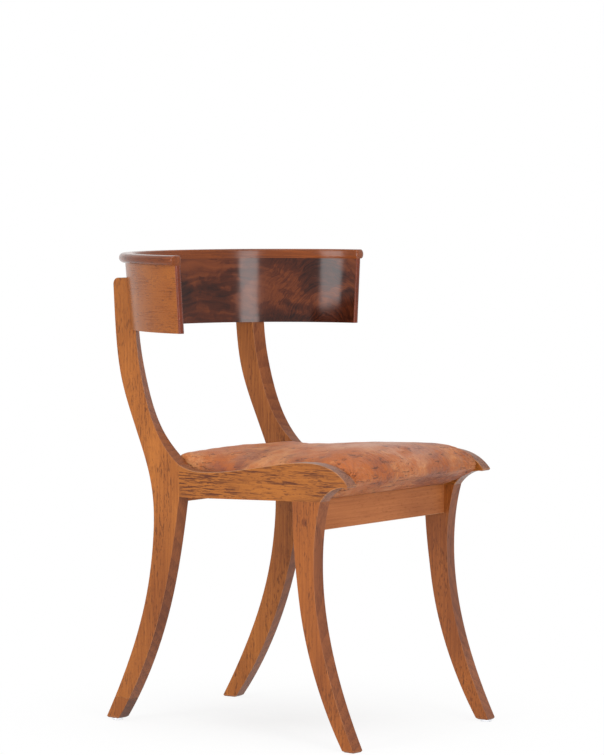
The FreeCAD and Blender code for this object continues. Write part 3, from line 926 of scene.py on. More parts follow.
@dataclass
class SidePlane:
    """The plane of one side frame.

    Attributes:
        side: -1 on the sitter's right and 1 on the left.
        splay: Angle by which the frame turns out towards the front.
        half_rear: Its outer face from the middle, at the datum line.
        datum_y: The datum line.
    """

    side: int
    splay: float = math.radians(3.57)
    half_rear: float = 0.1705
    datum_y: float = 0.137

    @property
    def forward(self) -> Vector:
        """Unit vector along the frame towards the front."""
        return Vector((self.side * math.sin(self.splay), -math.cos(self.splay), 0.0))

    @property
    def inward(self) -> Vector:
        """Unit vector through the frame towards the middle of the chair."""
        return Vector((-self.side * math.cos(self.splay), -math.sin(self.splay), 0.0))

    def local(self, point: Vector) -> tuple[float, float, float]:
        """Distance forward, inward and up of a point of the frame."""
        off = point - Vector((self.side * self.half_rear, self.datum_y, 0.0))
        return off.dot(self.forward), off.dot(self.inward), point.z

    def place(self, u: float, w: float, z: float) -> Vector:
        """The point at a distance forward, inward and up."""
        datum = Vector((self.side * self.half_rear, self.datum_y, z))
        return datum + self.forward * u + self.inward * w

    def upright(self, shift: float) -> Lie:
        """How a board lies whose grain runs up the frame."""
        return Lie(self.forward, self.inward, UP, shift)

    def level(self, shift: float) -> Lie:
        """How a board lies whose grain runs along the frame."""
        return Lie(UP, self.inward, self.forward, shift)


@dataclass
class SideFrames:
    """The two splayed plank frames: rear legs with stiles, side rails and front legs.

    Attributes:
        edge_radius: Round on the edges of the planks.
        seam_u: Joint line between stile and rail.
        rail_low: Height of the rail's underside at the stile.
        rail_rise: Its rise towards the front leg, per metre.
        leg_u: The front leg's back and front edges at the rail.
        slack: How near to a joint an edge counts as part of it.
        mortise_deep: How far behind the seam the rail's mortise reaches.
        mortise_z: Its lowest and highest edges, with room to spare.
        bore_deep: How far above and below the shoulder the dowel bores reach.
        inside_w: Depths between which the mortise and the bores lie.
        notch_low: Over this height the stile is cut for the backrest.
        knot: The knot in the right front leg: its place forward and up, and its radius.
        lean: Slope of the front legs' grain, forward per metre of height.
        first_cut: Where in the log the first board is cut.
        next_cut: How much further on each board is cut.
        planes: The planes of the two frames, by their names.
    """

    edge_radius: float = 0.0017
    seam_u: float = 0.0545
    rail_low: float = 0.3675
    rail_rise: float = 10.5 / 288.3
    leg_u: tuple[float, float] = (0.2875, 0.3428)
    slack: float = 0.0006
    mortise_deep: float = 0.03
    mortise_z: tuple[float, float] = (0.37, 0.412)
    bore_deep: float = 0.026
    inside_w: tuple[float, float] = (0.0012, 0.0165)
    notch_low: float = 0.6280
    knot: tuple[float, float, float] = (0.312, 0.345, 0.0035)
    lean: float = -0.12
    first_cut: float = 0.44
    next_cut: float = 0.31
    planes: dict[str, SidePlane] = field(default_factory=lambda: {
        "right": SidePlane(-1), "left": SidePlane(1)})

    def underside(self, u: float) -> float:
        """Height of the rail's underside."""
        return self.rail_low + self.rail_rise * (u - self.seam_u)

    def open_edge(self, plane: SidePlane) -> Callable[[bmesh.types.BMEdge], bool]:
        """A test for edges of a frame that no joint covers.

        Args:
            plane: The frame's plane.

        Returns:
            The test.
        """
        def at_joint(point: Vector) -> bool:
            """Whether a point lies on the stile's seam or on the front leg's shoulder.

            Args:
                point: The point.

            Returns:
                True if it does.
            """
            u, _, z = plane.local(point)
            on_seam = abs(u - self.seam_u) < self.slack and z > self.rail_low - self.slack
            on_leg = (self.leg_u[0] - self.slack < u < self.leg_u[1] + self.slack
                      and abs(z - self.underside(u)) < self.slack)
            return on_seam or on_leg

        def test(edge: bmesh.types.BMEdge) -> bool:
            """Whether an edge is open to view.

            Args:
                edge: The edge.

            Returns:
                True if it is.
            """
            ends = [v.co for v in edge.verts]
            if all(at_joint(p) for p in ends) or any(self.in_pocket(plane, p) for p in ends):
                return False
            return not all(self.in_notch(p) for p in ends)

        return test

    def in_pocket(self, plane: SidePlane, point: Vector) -> bool:
        """Whether a point lies in a mortise behind the seam or a bore by the shoulder.

        Args:
            plane: The frame's plane.
            point: The point.

        Returns:
            True if it does.
        """
        u, w, z = plane.local(point)
        behind = (self.seam_u - self.mortise_deep < u < self.seam_u + self.slack
                  and self.mortise_z[0] < z < self.mortise_z[1])
        bored = (self.leg_u[0] < u < self.leg_u[1]
                 and abs(z - self.underside(u)) < self.bore_deep)
        return self.inside_w[0] < w < self.inside_w[1] and (behind or bored)

    def in_notch(self, point: Vector) -> bool:
        """Whether a point lies on the seat cut for the backrest.

        Args:
            point: The point.

        Returns:
            True if it does.
        """
        away = math.hypot(point.x, point.y - Backrest.centre_y)
        return (point.z > self.notch_low
                and away < Backrest.outer_radius(point.z) + self.slack)

    def build(self) -> None:
        """Round and finish every plank of both frames."""
        shift = self.first_cut
        for name, plane in self.planes.items():
            u, z, radius = self.knot
            knots = ((plane.place(u, 0.0, z), radius),) if name == "right" else ()
            leaning = (plane.forward * self.lean + UP).normalized()
            self.plank(f"rear_leg_{name}", plane, LEG_WOOD, plane.upright(shift))
            self.plank(f"front_leg_{name}", plane, FRONT_WOOD,
                       replace(plane.upright(shift + self.next_cut), grain=leaning, knots=knots))
            self.plank(f"side_rail_{name}", plane, RAIL_WOOD,
                       plane.level(shift + 2 * self.next_cut))
            shift += 3 * self.next_cut
        right = self.planes["right"]
        self.plank("rear_foot_splice_right", right, SPLICE_WOOD, right.upright(shift))

    def plank(self, node: str, plane: SidePlane, wood: Timber, lie: Lie) -> None:
        """Round the open edges of one plank and finish it.

        Args:
            node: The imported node.
            plane: Its frame's plane.
            wood: Its finish.
            lie: How it lies.
        """
        bm = node_mesh(node)
        rounded(bm, self.open_edge(plane), self.edge_radius)
        mark_narrow(bm, plane.inward)
        slot = "rails" if node.startswith("side_rail") else "legs"
        weighted(as_piece(bm, f"{node}_board", [wood.material(lie, node)], Body.FRAME, slot,
                          [node]))


@dataclass
class CrossRails:
    """The front and rear rails, the ledges that carry the seat, and hidden fastenings.

    Attributes:
        edge_radius: Round on the long edges of the rails.
        long: How long an edge is that runs the length of a rail.
        cuts: Where in the log each rail was cut.
        ledge_cut: Where in the log the side ledges were cut.
    """

    edge_radius: float = 0.0012
    long: float = 0.25
    cuts: dict[str, float] = field(default_factory=lambda: {
        "front_rail": 0.21, "rear_rail": 0.77})
    ledge_cut: float = 0.5

    def build(self) -> None:
        """Round and finish the rails and finish the rest."""
        through = Vector((0.0, 1.0, 0.0))
        across = Lie(UP, through, Vector((1.0, 0.0, 0.0)))
        for node, shift in self.cuts.items():
            bm = node_mesh(node)
            rounded(bm, self.long_edge, self.edge_radius)
            mark_narrow(bm, through)
            finish = BOARD_WOOD.material(replace(across, shift=shift), node)
            weighted(as_piece(bm, f"{node}_board", [finish], Body.FRAME, "front_rail", [node]))
        bare = BARE_WOOD.material(across, "across")
        steel = STEEL.material()
        for node in ("seat_cleat_rear", "leg_dowels"):
            dress(node, bare)
        for name, side in (("right", -1), ("left", 1)):
            lie = SidePlane(side).level(self.ledge_cut)
            dress(f"seat_cleat_{name}", BARE_WOOD.material(lie, f"cleat_{name}"))
        for node in ("cleat_pins", "glide_nails", "backrest_screws"):
            dress(node, steel)

    def long_edge(self, edge: bmesh.types.BMEdge) -> bool:
        """Whether an edge runs the length of a rail, clear of its stubs."""
        return abs(edge.verts[0].co.x - edge.verts[1].co.x) > self.long


@dataclass
class Backrest:
    """The horseshoe: a bent core between two veneers, with a bead and end edgings.

    Attributes:
        thick: Its whole thickness.
        veneer: Thickness of each veneer.
        turn: Angle from the middle of the back to either end.
        steps: Steps round the whole back.
        bead_high: Height of the bead.
        bead_proud: How far the bead stands out behind.
        bead_soft: Round on the bead's inner upper edge.
        bead_steps: Steps round the bead's nose.
        joint: Half the gap between the two lengths of bead.
        edging_proud: How far the end edgings stand on.
        edging_flats: Steps round an edging.
        stop_round: How far the bead draws in as it stops.
        stop_steps: Steps of that rounding.
        soft_steps: Steps of the bead's soft edge.
        draw: How far the bead's inner face and its nose draw in, for each metre of inset.
        plug_cut: Where in the log the plugs were cut.
        centre_y: Where the middle of the curve lies.
        low: Height of the lower edge.
        high: Height of the bead's underside.
        radii: Radius of the outer face at those two heights.
    """

    thick: float = 0.0115
    veneer: float = 0.001
    turn: float = math.radians(85.9)
    steps: int = 172
    bead_high: float = 0.015
    bead_proud: float = 0.010
    bead_soft: float = 0.003
    bead_steps: int = 14
    joint: float = 0.0001
    edging_proud: float = 0.0032
    edging_flats: int = 10
    stop_round: float = 0.0065
    stop_steps: int = 6
    soft_steps: int = 3
    draw: tuple[float, float] = (0.3, 1.2)
    plug_cut: float = 2.1
    centre_y: ClassVar[float] = 0.0163
    low: ClassVar[float] = 0.6285
    high: ClassVar[float] = 0.7343
    radii: ClassVar[tuple[float, float]] = (0.2366, 0.2450)

    @classmethod
    def outer_radius(cls, z: float) -> float:
        """Radius of the outer face at a height."""
        share = (z - cls.low) / (cls.high - cls.low)
        return cls.radii[0] + share * (cls.radii[1] - cls.radii[0])

    def end(self, radius: float, z: float, onward: float = 0.0) -> Vector:
        """A point in the plane of the left end.

        Args:
            radius: Distance from the middle of the curve.
            z: Height.
            onward: Distance past the plane.

        Returns:
            The point.
        """
        out = Vector((math.sin(self.turn), math.cos(self.turn), 0.0))
        on = Vector((math.cos(self.turn), -math.sin(self.turn), 0.0))
        return Vector((0.0, self.centre_y, z)) + out * radius + on * onward

    def swept(self, section: Sequence[Vector], turn: float, steps: int) -> bmesh.types.BMesh:
        """Spin a section in the plane of the left end round the back.

        Args:
            section: Its corners.
            turn: How far to go round.
            steps: In how many steps.

        Returns:
            The closed mesh.
        """
        bm = bmesh.new()
        face = bm.faces.new([bm.verts.new(p) for p in section])
        bmesh.ops.spin(bm, geom=[*bm.verts, *bm.edges, face], angle=turn, steps=steps,
                       axis=UP, cent=Vector((0.0, self.centre_y, 0.0)), use_duplicate=False)
        bmesh.ops.remove_doubles(bm, verts=bm.verts[:], dist=1e-6)
        bmesh.ops.recalc_face_normals(bm, faces=bm.faces[:])
        return bm

    def layer(self, outer: float, inner: float) -> bmesh.types.BMesh:
        """A layer of the horseshoe.

        Args:
            outer: Depth of its outer side below the horseshoe's outer face.
            inner: Depth of its inner side.

        Returns:
            The closed mesh.
        """
        section = [self.end(self.outer_radius(z) - depth, z)
                   for z, depth in ((self.low, outer), (self.high, outer),
                                    (self.high, inner), (self.low, inner))]
        return self.swept(section, 2 * self.turn, self.steps)

    def bead_section(self, inset: float = 0.0, onward: float = 0.0) -> list[Vector]:
        """Corners of the bead, flat inside and half round outside.

        Args:
            inset: How far it is drawn in, except below.
            onward: Distance past the end plane.

        Returns:
            The corners.
        """
        half = (self.bead_high - inset) / 2
        inner = self.radii[1] - self.thick + inset * self.draw[0]
        nose = self.radii[1] + self.bead_proud - inset * self.draw[1]
        top = self.high + self.bead_high - inset
        corners = [self.end(inner, self.high, onward)]
        for k in range(self.bead_steps + 1):
            a = math.pi * (k / self.bead_steps - 0.5)
            corners.append(self.end(nose - half + half * math.cos(a),
                                    self.high + half + half * math.sin(a), onward))
        soft = self.bead_soft
        for k in range(self.soft_steps + 1):
            a = math.pi / 2 * k / self.soft_steps
            corners.append(self.end(inner + soft - soft * math.sin(a),
                                    top - soft + soft * math.cos(a), onward))
        return corners

    def build(self) -> None:
        """Make the layers, the bead, the edgings and the plugs."""
        inner = INNER_VENEER.material(self.centre_y, self.radii[0])
        outer = OUTER_VENEER.material(self.centre_y, self.radii[0])
        core = self.timber_round(BARE_WOOD, "core")
        deep = self.thick - self.veneer
        for name, finish, slot, node, depths in (
                ("inner_veneer_sheet", inner, "inner_veneer", "backrest_inner_veneer",
                 (deep, self.thick)),
                ("outer_veneer_sheet", outer, "outer_veneer", "backrest_outer_veneer",
                 (0.0, self.veneer)),
                ("backrest_core_bent", core, "beech", "backrest_core", (self.veneer, deep))):
            as_piece(self.layer(*depths), name, [finish], Body.FRAME, slot, [node])
        bead = self.timber_round(BEAD_WOOD, "bead")
        self.beads(bead)
        self.edgings(bead)
        dress("screw_plugs",
              LEG_WOOD.material(SidePlane(-1).upright(self.plug_cut), "screw_plugs"))

    def timber_round(self, wood: Timber, label: str) -> bpy.types.Material:
        """Finish a piece whose grain follows the curve of the back.

        Args:
            wood: The timber.
            label: Added to the finish's name.

        Returns:
            The material.
        """
        g = Graph.named(f"{wood.name}_{label}")
        x, y, z = g.split(g.point())
        behind = y - self.centre_y
        along = behind.calc("ARCTAN2", x) * self.radii[1]
        out = (x * x + behind * behind) ** 0.5
        return wood.surface(g, z, out, along)

    def beads(self, finish: bpy.types.Material) -> None:
        """Make the two lengths of bead, which meet behind the middle.

        Args:
            finish: Their finish.
        """
        gap = self.joint / self.radii[1]
        for name, turned in (("left", 0.0), ("right", self.turn + gap)):
            bm = self.swept(self.bead_section(), self.turn - gap, self.steps // 2)
            bmesh.ops.rotate(bm, verts=bm.verts[:], cent=Vector((0.0, self.centre_y, 0.0)),
                             matrix=Matrix.Rotation(turned, 3, "Z"))
            as_piece(bm, f"top_bead_{name}_moulded", [finish], Body.FRAME, "bead",
                     [f"top_bead_{name}"])

    def edging_ring(self, z: float) -> list[Vector]:
        """Corners of the half-round edging.

        Args:
            z: The height.

        Returns:
            The corners.
        """
        outer = self.outer_radius(z)
        turns = [math.pi * k / self.edging_flats for k in range(self.edging_flats + 1)]
        return [self.end(outer - self.thick / 2 * (1 + math.cos(a)), z,
                         self.edging_proud * math.sin(a)) for a in turns]

    def edgings(self, bead: bpy.types.Material) -> None:
        """Make the rounded strip over each end, under the rounded stop of the bead.

        Args:
            bead: The bead's finish.
        """
        finish = self.timber_round(EDGING_WOOD, "edging")
        for name in ("left", "right"):
            bm = bmesh.new()
            self.lofted(bm, [self.edging_ring(self.low), self.edging_ring(self.high)], 0)
            turns = [math.pi / 2 * k / self.stop_steps for k in range(self.stop_steps + 1)]
            self.lofted(bm, [self.bead_section(self.stop_round * (1 - math.cos(a)),
                                               self.edging_proud * math.sin(a))
                             for a in turns], 1)
            if name == "right":
                bmesh.ops.scale(bm, vec=Vector((-1.0, 1.0, 1.0)), verts=bm.verts[:])
            bmesh.ops.recalc_face_normals(bm, faces=bm.faces[:])
            as_piece(bm, f"end_edging_{name}_strip", [finish, bead], Body.FRAME, "edging",
                     [f"end_edging_{name}"])

    @staticmethod
    def lofted(bm: bmesh.types.BMesh, rings: Sequence[Sequence[Vector]], index: int) -> None:
        """Add a closed loft through rings of corners.

        Args:
            bm: The mesh to add to.
            rings: The rings, with as many corners each.
            index: The material's index.
        """
        made = [[bm.verts.new(p) for p in ring] for ring in rings]
        faces = [bm.faces.new(made[0]), bm.faces.new(made[-1])]
        count = len(made[0])
        for one, two in zip(made, made[1:]):
            for k in range(count):
                j = (k + 1) % count
                faces.append(bm.faces.new((one[k], one[j], two[j], two[k])))
        for face in faces:
            face.material_index = index


@dataclass
class Feet:
    """The steel glides under two of the feet.

    Attributes:
        sides: Sides of each disc.
        radius: Its radius.
        soft: Round on its lower rim.
        hair: How near to the lowest height a corner counts as on the rim.
    """

    sides: int = 48
    radius: float = 0.009
    soft: float = 0.001
    hair: float = 1e-5

    def build(self) -> None:
        """Turn both glides."""
        finish = NICKEL.material()
        for node in ("glide_rear_right", "glide_front_left"):
            low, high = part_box(node)
            bm = bmesh.new()
            bmesh.ops.create_cone(bm, cap_ends=True, segments=self.sides, radius1=self.radius,
                                  radius2=self.radius, depth=high.z - low.z,
                                  matrix=Matrix.Translation((low + high) / 2))
            rim = [e for e in bm.edges if all(v.co.z < low.z + self.hair for v in e.verts)]
            bmesh.ops.bevel(bm, geom=rim, offset=self.soft, segments=3, profile=0.5,
                            affect="EDGES", material=-1)
            as_piece(bm, f"{node}_disc", [finish], Body.FRAME, "glides", [node])


@dataclass
class SlipSeat:
    """The stuffed leather seat on its own frame.

    Attributes:
        gap: Clearance to the side frames.
        plank: Thickness of the side frames.
        rear_v: Back of the seat, forward of the datum line.
        nose_v: Its front.
        low: Underside of the seat.
        crown: Heights along the middle, as points of v and z.
        belly: Underside, as points of v and z.
        fall: How far the crown has fallen at the sides, as points of v and depth.
        lateness: How late it falls, as points of v and power.
        cuts: Subdivisions of the first block.
        voxel: Size of the remesh.
        shrink: How much lower the crown starts than it ends.
        swell: How far the stuffing may push the leather out.
        pressure: How hard it pushes.
        held_low: Under this height the leather is held.
        frames: How many steps the stuffing presses for.
        held_side: How wide the strip is along the sides where the leather is held.
        loosening: How firmly it is held past that strip, and how far in that reaches.
        least: Least thickness of the form.
        smoothing: How often the form is smoothed.
        flat_low: Over the underside, how high the leather stays without folds.
        folds_from: Where the folds of the front start and are full, forward of the datum line.
        fold: Depth of those folds.
        pleats: How many pleats fan out, for each radian.
        pleat: Their depth.
        pleats_from: Where they start and are full, forward of the datum line.
        pleats_reach: How far from a corner they reach.
        corner_z: Height of the corners that they fan out from.
        corner_out: How far those corners lie outside the leather.
        spare: How far outside the seat's width the leather may reach.
        cloth: Thickness of the bottom cloth.
        squares: Squares of the bottom cloth across and forward.
        plane: The left frame's plane, which the seat's side follows.
    """

    gap: float = 0.001
    plank: float = 0.023
    rear_v: float = 0.029
    nose_v: float = 0.389
    low: float = 0.3793
    crown: Points = (
        (0.029, 0.4250), (0.031, 0.4335), (0.036, 0.4380), (0.046, 0.4398), (0.062, 0.4398),
        (0.100, 0.4396), (0.140, 0.4408), (0.175, 0.4430), (0.237, 0.4470), (0.268, 0.4492),
        (0.298, 0.4512), (0.322, 0.4524), (0.340, 0.4518), (0.355, 0.4490), (0.368, 0.4435),
        (0.379, 0.4350), (0.386, 0.4250), (0.389, 0.4130))
    belly: Points = (
        (0.0290, 0.3793), (0.3330, 0.3793), (0.3480, 0.3858), (0.3620, 0.3940), (0.3790, 0.4010),
        (0.3890, 0.4090))
    fall: Points = (
        (0.029, 0.000), (0.046, 0.002), (0.070, 0.010), (0.120, 0.024), (0.195, 0.0265),
        (0.250, 0.021), (0.334, 0.016), (0.370, 0.011), (0.389, 0.002))
    lateness: Points = (
        (0.029, 14.0), (0.060, 11.0), (0.120, 6.0), (0.240, 5.5), (0.334, 7.0), (0.389, 9.0))
    cuts: int = 47
    voxel: float = 0.0040
    shrink: float = 0.0025
    swell: float = 0.006
    pressure: float = 4.0
    held_low: float = 0.404
    frames: int = 20
    held_side: float = 0.003
    loosening: tuple[float, float] = (0.6, 0.05)
    least: float = 0.002
    smoothing: int = 3
    flat_low: float = 0.008
    folds_from: tuple[float, float] = (0.31, 0.37)
    fold: float = 0.0013
    pleats: float = 22.0
    pleat: float = 0.0016
    pleats_from: tuple[float, float] = (0.335, 0.365)
    pleats_reach: float = 0.075
    corner_z: float = 0.412
    corner_out: float = 0.004
    spare: float = 0.0003
    cloth: float = 0.0004
    squares: tuple[int, int] = (40, 36)
    plane: SidePlane = field(default_factory=lambda: SidePlane(1))

    def half_width(self, v: float) -> float:
        """Half the seat's width.

        Args:
            v: Distance forward of the datum line.

        Returns:
            The half width.
        """
        plane = self.plane
        return (plane.half_rear + v * math.tan(plane.splay)
                - (self.plank + self.gap) / math.cos(plane.splay))

    @staticmethod
    def on_line(points: Points, v: float) -> float:
        """Value of a line through points.

        Args:
            points: The points, in the order of v.
            v: Where on the line.

        Returns:
            The value.
        """
        for (v0, z0), (v1, z1) in zip(points, points[1:]):
            if v <= v1:
                return z0 + (z1 - z0) * risen(v, v0, v1)
        return points[-1][1]

    def top(self, share: float, v: float) -> float:
        """Height of the stuffed form at a share of the half width."""
        fallen = self.on_line(self.fall, v) * abs(share) ** self.on_line(self.lateness, v)
        return self.on_line(self.crown, v) - fallen

    def placed(self, unit: Vector) -> Vector:
        """Map a point of a cube of half size 1 to the seat's form.

        Args:
            unit: The cube's point.

        Returns:
            The form's point.
        """
        v = self.rear_v + (self.nose_v - self.rear_v) * (unit.y + 1) / 2
        bottom = self.on_line(self.belly, v)
        top = max(self.top(unit.x, v) - self.shrink, bottom + self.least)
        z = bottom + (top - bottom) * (unit.z + 1) / 2
        return Vector((unit.x * self.half_width(v), self.plane.datum_y - v, z))

    def block(self) -> bpy.types.Object:
        """The seat's form as an even mesh, ready to swell.

        Returns:
            The form.
        """
        bm = bmesh.new()
        bmesh.ops.create_cube(bm, size=2.0)
        bmesh.ops.subdivide_edges(bm, edges=bm.edges[:], cuts=self.cuts, use_grid_fill=True)
        for vert in bm.verts:
            vert.co = self.placed(vert.co)
        bmesh.ops.recalc_face_normals(bm, faces=bm.faces[:])
        form = linked("seat_form", as_mesh(bm, "seat_form"))
        modified(form, "REMESH", mode="VOXEL", voxel_size=self.voxel)
        modified(form, "SMOOTH", factor=0.5, iterations=self.smoothing)
        return form

    def swollen(self, form: bpy.types.Object) -> None:
        """Let the stuffing press the leather out, held along its lower edge.

        Args:
            form: The seat's form.
        """
        rest = [v.co.copy() for v in form.data.vertices]
        held = form.vertex_groups.new(name="held")
        for vert in form.data.vertices:
            held.add([vert.index], self.hold(vert.co), "REPLACE")
        cloth = form.modifiers.new("leather", "CLOTH")
        put(cloth.settings, {
            "quality": 4, "mass": 0.5, "tension_stiffness": 25, "compression_stiffness": 25,
            "bending_stiffness": 4, "use_pressure": True,
            "uniform_pressure_force": self.pressure, "vertex_group_mass": held.name})
        cloth.settings.effector_weights.gravity = 0
        cloth.collision_settings.use_collision = False
        scene = bpy.context.scene
        for frame in range(1, self.frames + 1):
            scene.frame_set(frame)
        graph = bpy.context.evaluated_depsgraph_get()
        moved = [v.co.copy() for v in form.evaluated_get(graph).data.vertices]
        form.modifiers.remove(cloth)
        scene.frame_set(1)
        steps = [(after - before).length for before, after in zip(rest, moved)]
        LOG.info("leather moved %.1f mm at most", max(steps) * 1000)
        for vert, before, after, step in zip(form.data.vertices, rest, moved, steps):
            vert.co = before + (after - before) * min(1.0, self.swell / max(step, 1e-9))

    def hold(self, point: Vector) -> float:
        """How firmly the leather is held.

        Args:
            point: The place.

        Returns:
            0 where it is free, 1 where it is held.
        """
        if point.z < self.held_low:
            return 1.0
        edge = self.half_width(self.plane.datum_y - point.y) - abs(point.x)
        most, reach = self.loosening
        return 1.0 if edge < self.held_side else max(0.0, most - edge / reach)

    def creased(self, form: bpy.types.Object) -> None:
        """Push the leather into the folds, gathers and dents of long use.

        Args:
            form: The seat's form.
        """
        normals = [vert.normal.copy() for vert in form.data.vertices]
        for vert, normal in zip(form.data.vertices, normals):
            p = vert.co
            if p.z < self.low + self.flat_low:
                continue
            v = self.plane.datum_y - p.y
            lump = noise.noise(Vector((p.x * 15.0, p.y * 15.0, 2.0))) * 0.0014
            lump += noise.noise(Vector((p.x * 48.0, p.y * 40.0, 7.0))) * 0.0007
            fold = 0.5 - abs(noise.noise(Vector((p.x * 130.0 + p.z * 60.0, v * 24.0, 4.0))))
            fold *= self.fold * risen(v, *self.folds_from)
            vert.co = p + normal * (lump + fold + self.gather(v, p))

    def gather(self, v: float, point: Vector) -> float:
        """Depth of the pleats that fan out from the front corners.

        Args:
            v: Distance forward of the datum line.
            point: The place.

        Returns:
            How far the leather stands out there.
        """
        aside = self.half_width(v) - abs(point.x) + self.corner_out
        drop = self.corner_z - point.z
        near = max(0.0, 1 - math.hypot(aside, drop) / self.pleats_reach)
        near *= risen(v, *self.pleats_from)
        wander = noise.noise(Vector((point.x * 30.0, point.z * 40.0, 1.0)))
        turn = math.atan2(drop, aside) * self.pleats + wander * 3.0
        return math.sin(turn) * self.pleat * near

    def kept_clear(self, form: bpy.types.Object) -> None:
        """Hold the leather clear of the rails beside and under it.

        Args:
            form: The seat's form.
        """
        for vert in form.data.vertices:
            x, y, z = vert.co
            limit = self.half_width(self.plane.datum_y - y) + self.spare
            vert.co = (max(-limit, min(limit, x)), min(y, self.plane.datum_y - self.rear_v),
                       max(z, self.low))

    def build(self) -> None:
        """Make the cover, the bars, the webbing and the bottom cloth."""
        form = self.block()
        self.swollen(form)
        self.kept_clear(form)
        modified(form, "SUBSURF", levels=1, render_levels=1)
        self.creased(form)
        self.kept_clear(form)
        bm = bmesh.new()
        bm.from_mesh(form.data)
        bpy.data.objects.remove(form)
        cover = as_piece(bm, "seat_cushion", [Leather().material()], Body.SEAT, "leather",
                         ["seat_cover", "seat_padding"])
        self.under_frame()

    def under_frame(self) -> None:
        """Finish the bars, the webbing, the cloth and its tacks."""
        across = Lie(Vector((0.0, 1.0, 0.0)), UP, Vector((1.0, 0.0, 0.0)), 0.3)
        ahead = Lie(Vector((1.0, 0.0, 0.0)), UP, Vector((0.0, 1.0, 0.0)), 0.9)
        level = BARE_WOOD.material(across, "bars_across")
        along = BARE_WOOD.material(ahead, "bars_along")
        for node in ("slip_frame_rear", "slip_frame_front", "slip_frame_dowels"):
            dress(node, level)
        for node in ("slip_frame_left", "slip_frame_right"):
            dress(node, along)
        dress("cloth_tacks", STEEL.material())
        jute = JUTE.material()
        for node in ("webbing_long", "webbing_cross"):
            as_piece(node_mesh(node), f"{node}_strips", [jute], Body.SEAT, "webbing", [node])
        self.bottom_cloth()

    def bottom_cloth(self) -> None:
        """The calico under the seat, one thin sheet stretched between its tacks."""
        low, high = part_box("bottom_cloth")
        middle = (low + high) / 2
        rear_half = self.half_width(self.plane.datum_y - high.y) - self.plank
        front_half = self.half_width(self.plane.datum_y - low.y) - self.plank
        bm = bmesh.new()
        bmesh.ops.create_grid(bm, x_segments=self.squares[0],
                              y_segments=self.squares[1], size=1.0)
        for vert in bm.verts:
            share = (1 - vert.co.y) / 2
            half = rear_half + (front_half - rear_half) * share
            vert.co = Vector((vert.co.x * half, middle.y + vert.co.y * (high.y - low.y) / 2,
                              middle.z))
        piece = as_piece(bm, "bottom_calico", [CALICO.material()], Body.SEAT, "calico",
                         ["bottom_cloth"])
        modified(piece, "SOLIDIFY", thickness=self.cloth, offset=0.0)
        front_half * 2
        (rear_half + front_half) * (high.y - low.y)


@dataclass
class Lamp:
    """One soft light.

    Attributes:
        name: Its name.
        place: Where it stands.
        aim: What it points at.
        size: Its width and height.
        power: Its power in watts.
    """

    name: str
    place: tuple[float, float, float]
    aim: tuple[float, float, float]
    size: tuple[float, float]
    power: float

    def build(self) -> None:
        """Set the lamp up."""
        light = bpy.data.lights.new(self.name, "AREA")
        light.shape = "RECTANGLE"
        light.size, light.size_y = self.size
        light.energy = self.power
        lamp = linked(self.name, light)
        away = Vector(self.aim) - Vector(self.place)
        lamp.location = self.place
        lamp.rotation_euler = away.to_track_quat("-Z", "Y").to_euler()
        lamp.visible_camera = False


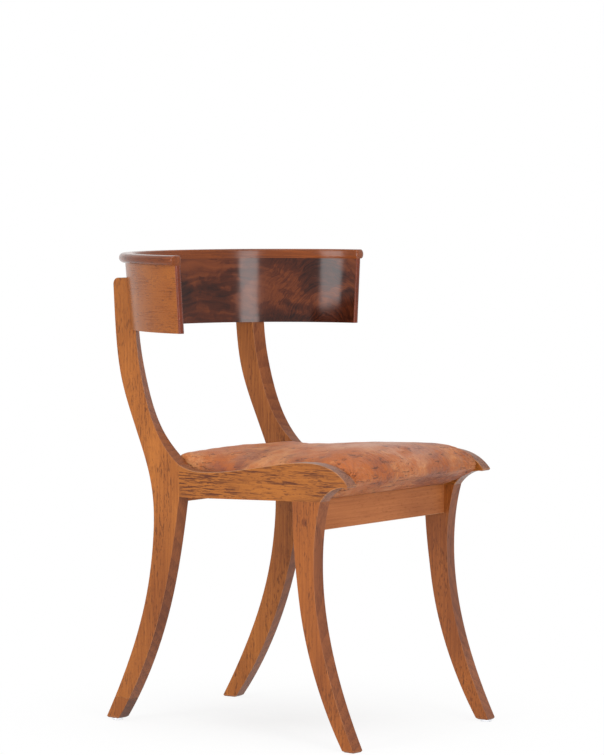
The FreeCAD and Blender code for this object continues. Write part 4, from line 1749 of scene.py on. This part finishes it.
@dataclass
class Studio:
    """The pale floor, the light and the camera.

    Attributes:
        lens: Focal length in millimetres.
        sensor: Width of the sensor's long side in millimetres.
        eye: Where the camera stands.
        tilt: Its angle from straight down, in degrees.
        turn: Its turn about the vertical, in degrees.
        fill: Strength of the world's light on the chair.
        floor_half: Half the floor's width.
        floor_tone: How pale the floor is.
        white_from: Distances from the chair over which the floor turns to plain white.
        lamps: The lamps.
    """

    lens: float = 166.7
    sensor: float = 36.0
    eye: tuple[float, float, float] = (-4.4507, -3.3294, 0.8945)
    tilt: float = 90.0 - 3.54
    turn: float = -53.44
    fill: float = 0.50
    floor_half: float = 15.0
    floor_tone: float = 0.9
    white_from: tuple[float, float] = (-1.0, 0.6)
    lamps: tuple[Lamp, ...] = (
        Lamp("key", (-1.30, -2.55, 0.95), (0.0, 0.0, 0.5), (0.80, 2.2), 44.0),
        Lamp("side", (-2.80, 0.42, 1.05), (0.0, 0.0, 0.5), (0.92, 2.2), 44.0),
        Lamp("top", (-0.4, -0.6, 3.2), (0.0, 0.0, 0.4), (2.4, 2.4), 36.0))

    def build(self) -> None:
        """Set up floor, world, lamps and camera."""
        self.floor()
        self.world()
        for lamp in self.lamps:
            lamp.build()
        data = bpy.data.cameras.new("camera")
        data.lens = self.lens
        data.sensor_width = self.sensor
        camera = linked("camera", data)
        camera.location = self.eye
        camera.rotation_euler = (math.radians(self.tilt), 0.0, math.radians(self.turn))
        bpy.context.scene.camera = camera
        bpy.context.scene.view_settings.view_transform = "Standard"

    @staticmethod
    def shown(g: Graph) -> Socket:
        """What the camera sees straight, by reflection or through something.

        Args:
            g: The graph.

        Returns:
            1 for such rays and 0 for the rest.
        """
        seen = g.node("ShaderNodeLightPath", output="Is Camera Ray")
        outputs = seen.output.node.outputs
        for name in ("Is Glossy Ray", "Is Transmission Ray"):
            seen = seen.calc("MAXIMUM", Socket(g, outputs[name]))
        return seen

    def floor(self) -> None:
        """A plain pale floor that keeps the chair's shadow."""
        bm = bmesh.new()
        bmesh.ops.create_grid(bm, x_segments=1, y_segments=1, size=self.floor_half)
        g = Graph.named("pale_floor")
        matt = g.node("ShaderNodeBsdfDiffuse", None,
                      {"Color": (*(self.floor_tone,) * 3, 1.0)})
        away = g.far(g.point(), Vector()).above(*self.white_from)
        white = g.node("ShaderNodeEmission", None, {"Strength": 1.0})
        both = g.node("ShaderNodeMixShader", None,
                      {0: self.shown(g) * away, 1: matt, 2: white})
        g.node("ShaderNodeOutputMaterial", None, {"Surface": both})
        mesh = as_mesh(bm, "floor")
        mesh.materials.append(g.owner)
        linked("floor", mesh)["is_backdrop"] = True

    def world(self) -> None:
        """White to the camera and to reflections, and a plain level for the rest."""
        world = bpy.data.worlds.new("studio")
        bpy.context.scene.world = world
        g = Graph(world)
        plain, seen = (g.node("ShaderNodeBackground", None,
                              {"Color": WHITE, "Strength": strength})
                       for strength in (self.fill, 1.0))
        back = g.node("ShaderNodeMixShader", None, {0: self.shown(g), 1: plain, 2: seen})
        g.node("ShaderNodeOutputWorld", None, {"Surface": back})


def corners(bounds: tuple[Vector, Vector]) -> list[list[float]]:
    """A box's two corners as plain lists."""
    return [list(corner) for corner in bounds]


def main() -> None:
    """Load the frame, dress the chair and set it in the studio."""
    logging.basicConfig(level=logging.INFO, format="%(name)s %(message)s")
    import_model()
    sizes = {"frame": corners(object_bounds())}
    for part in (Studio(), SideFrames(), CrossRails(), Backrest(), Feet(), SlipSeat()):
        LOG.info("building %s", type(part).__name__)
        part.build()
    sizes["visual"] = corners(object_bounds())


if __name__ == "__main__":
    main()
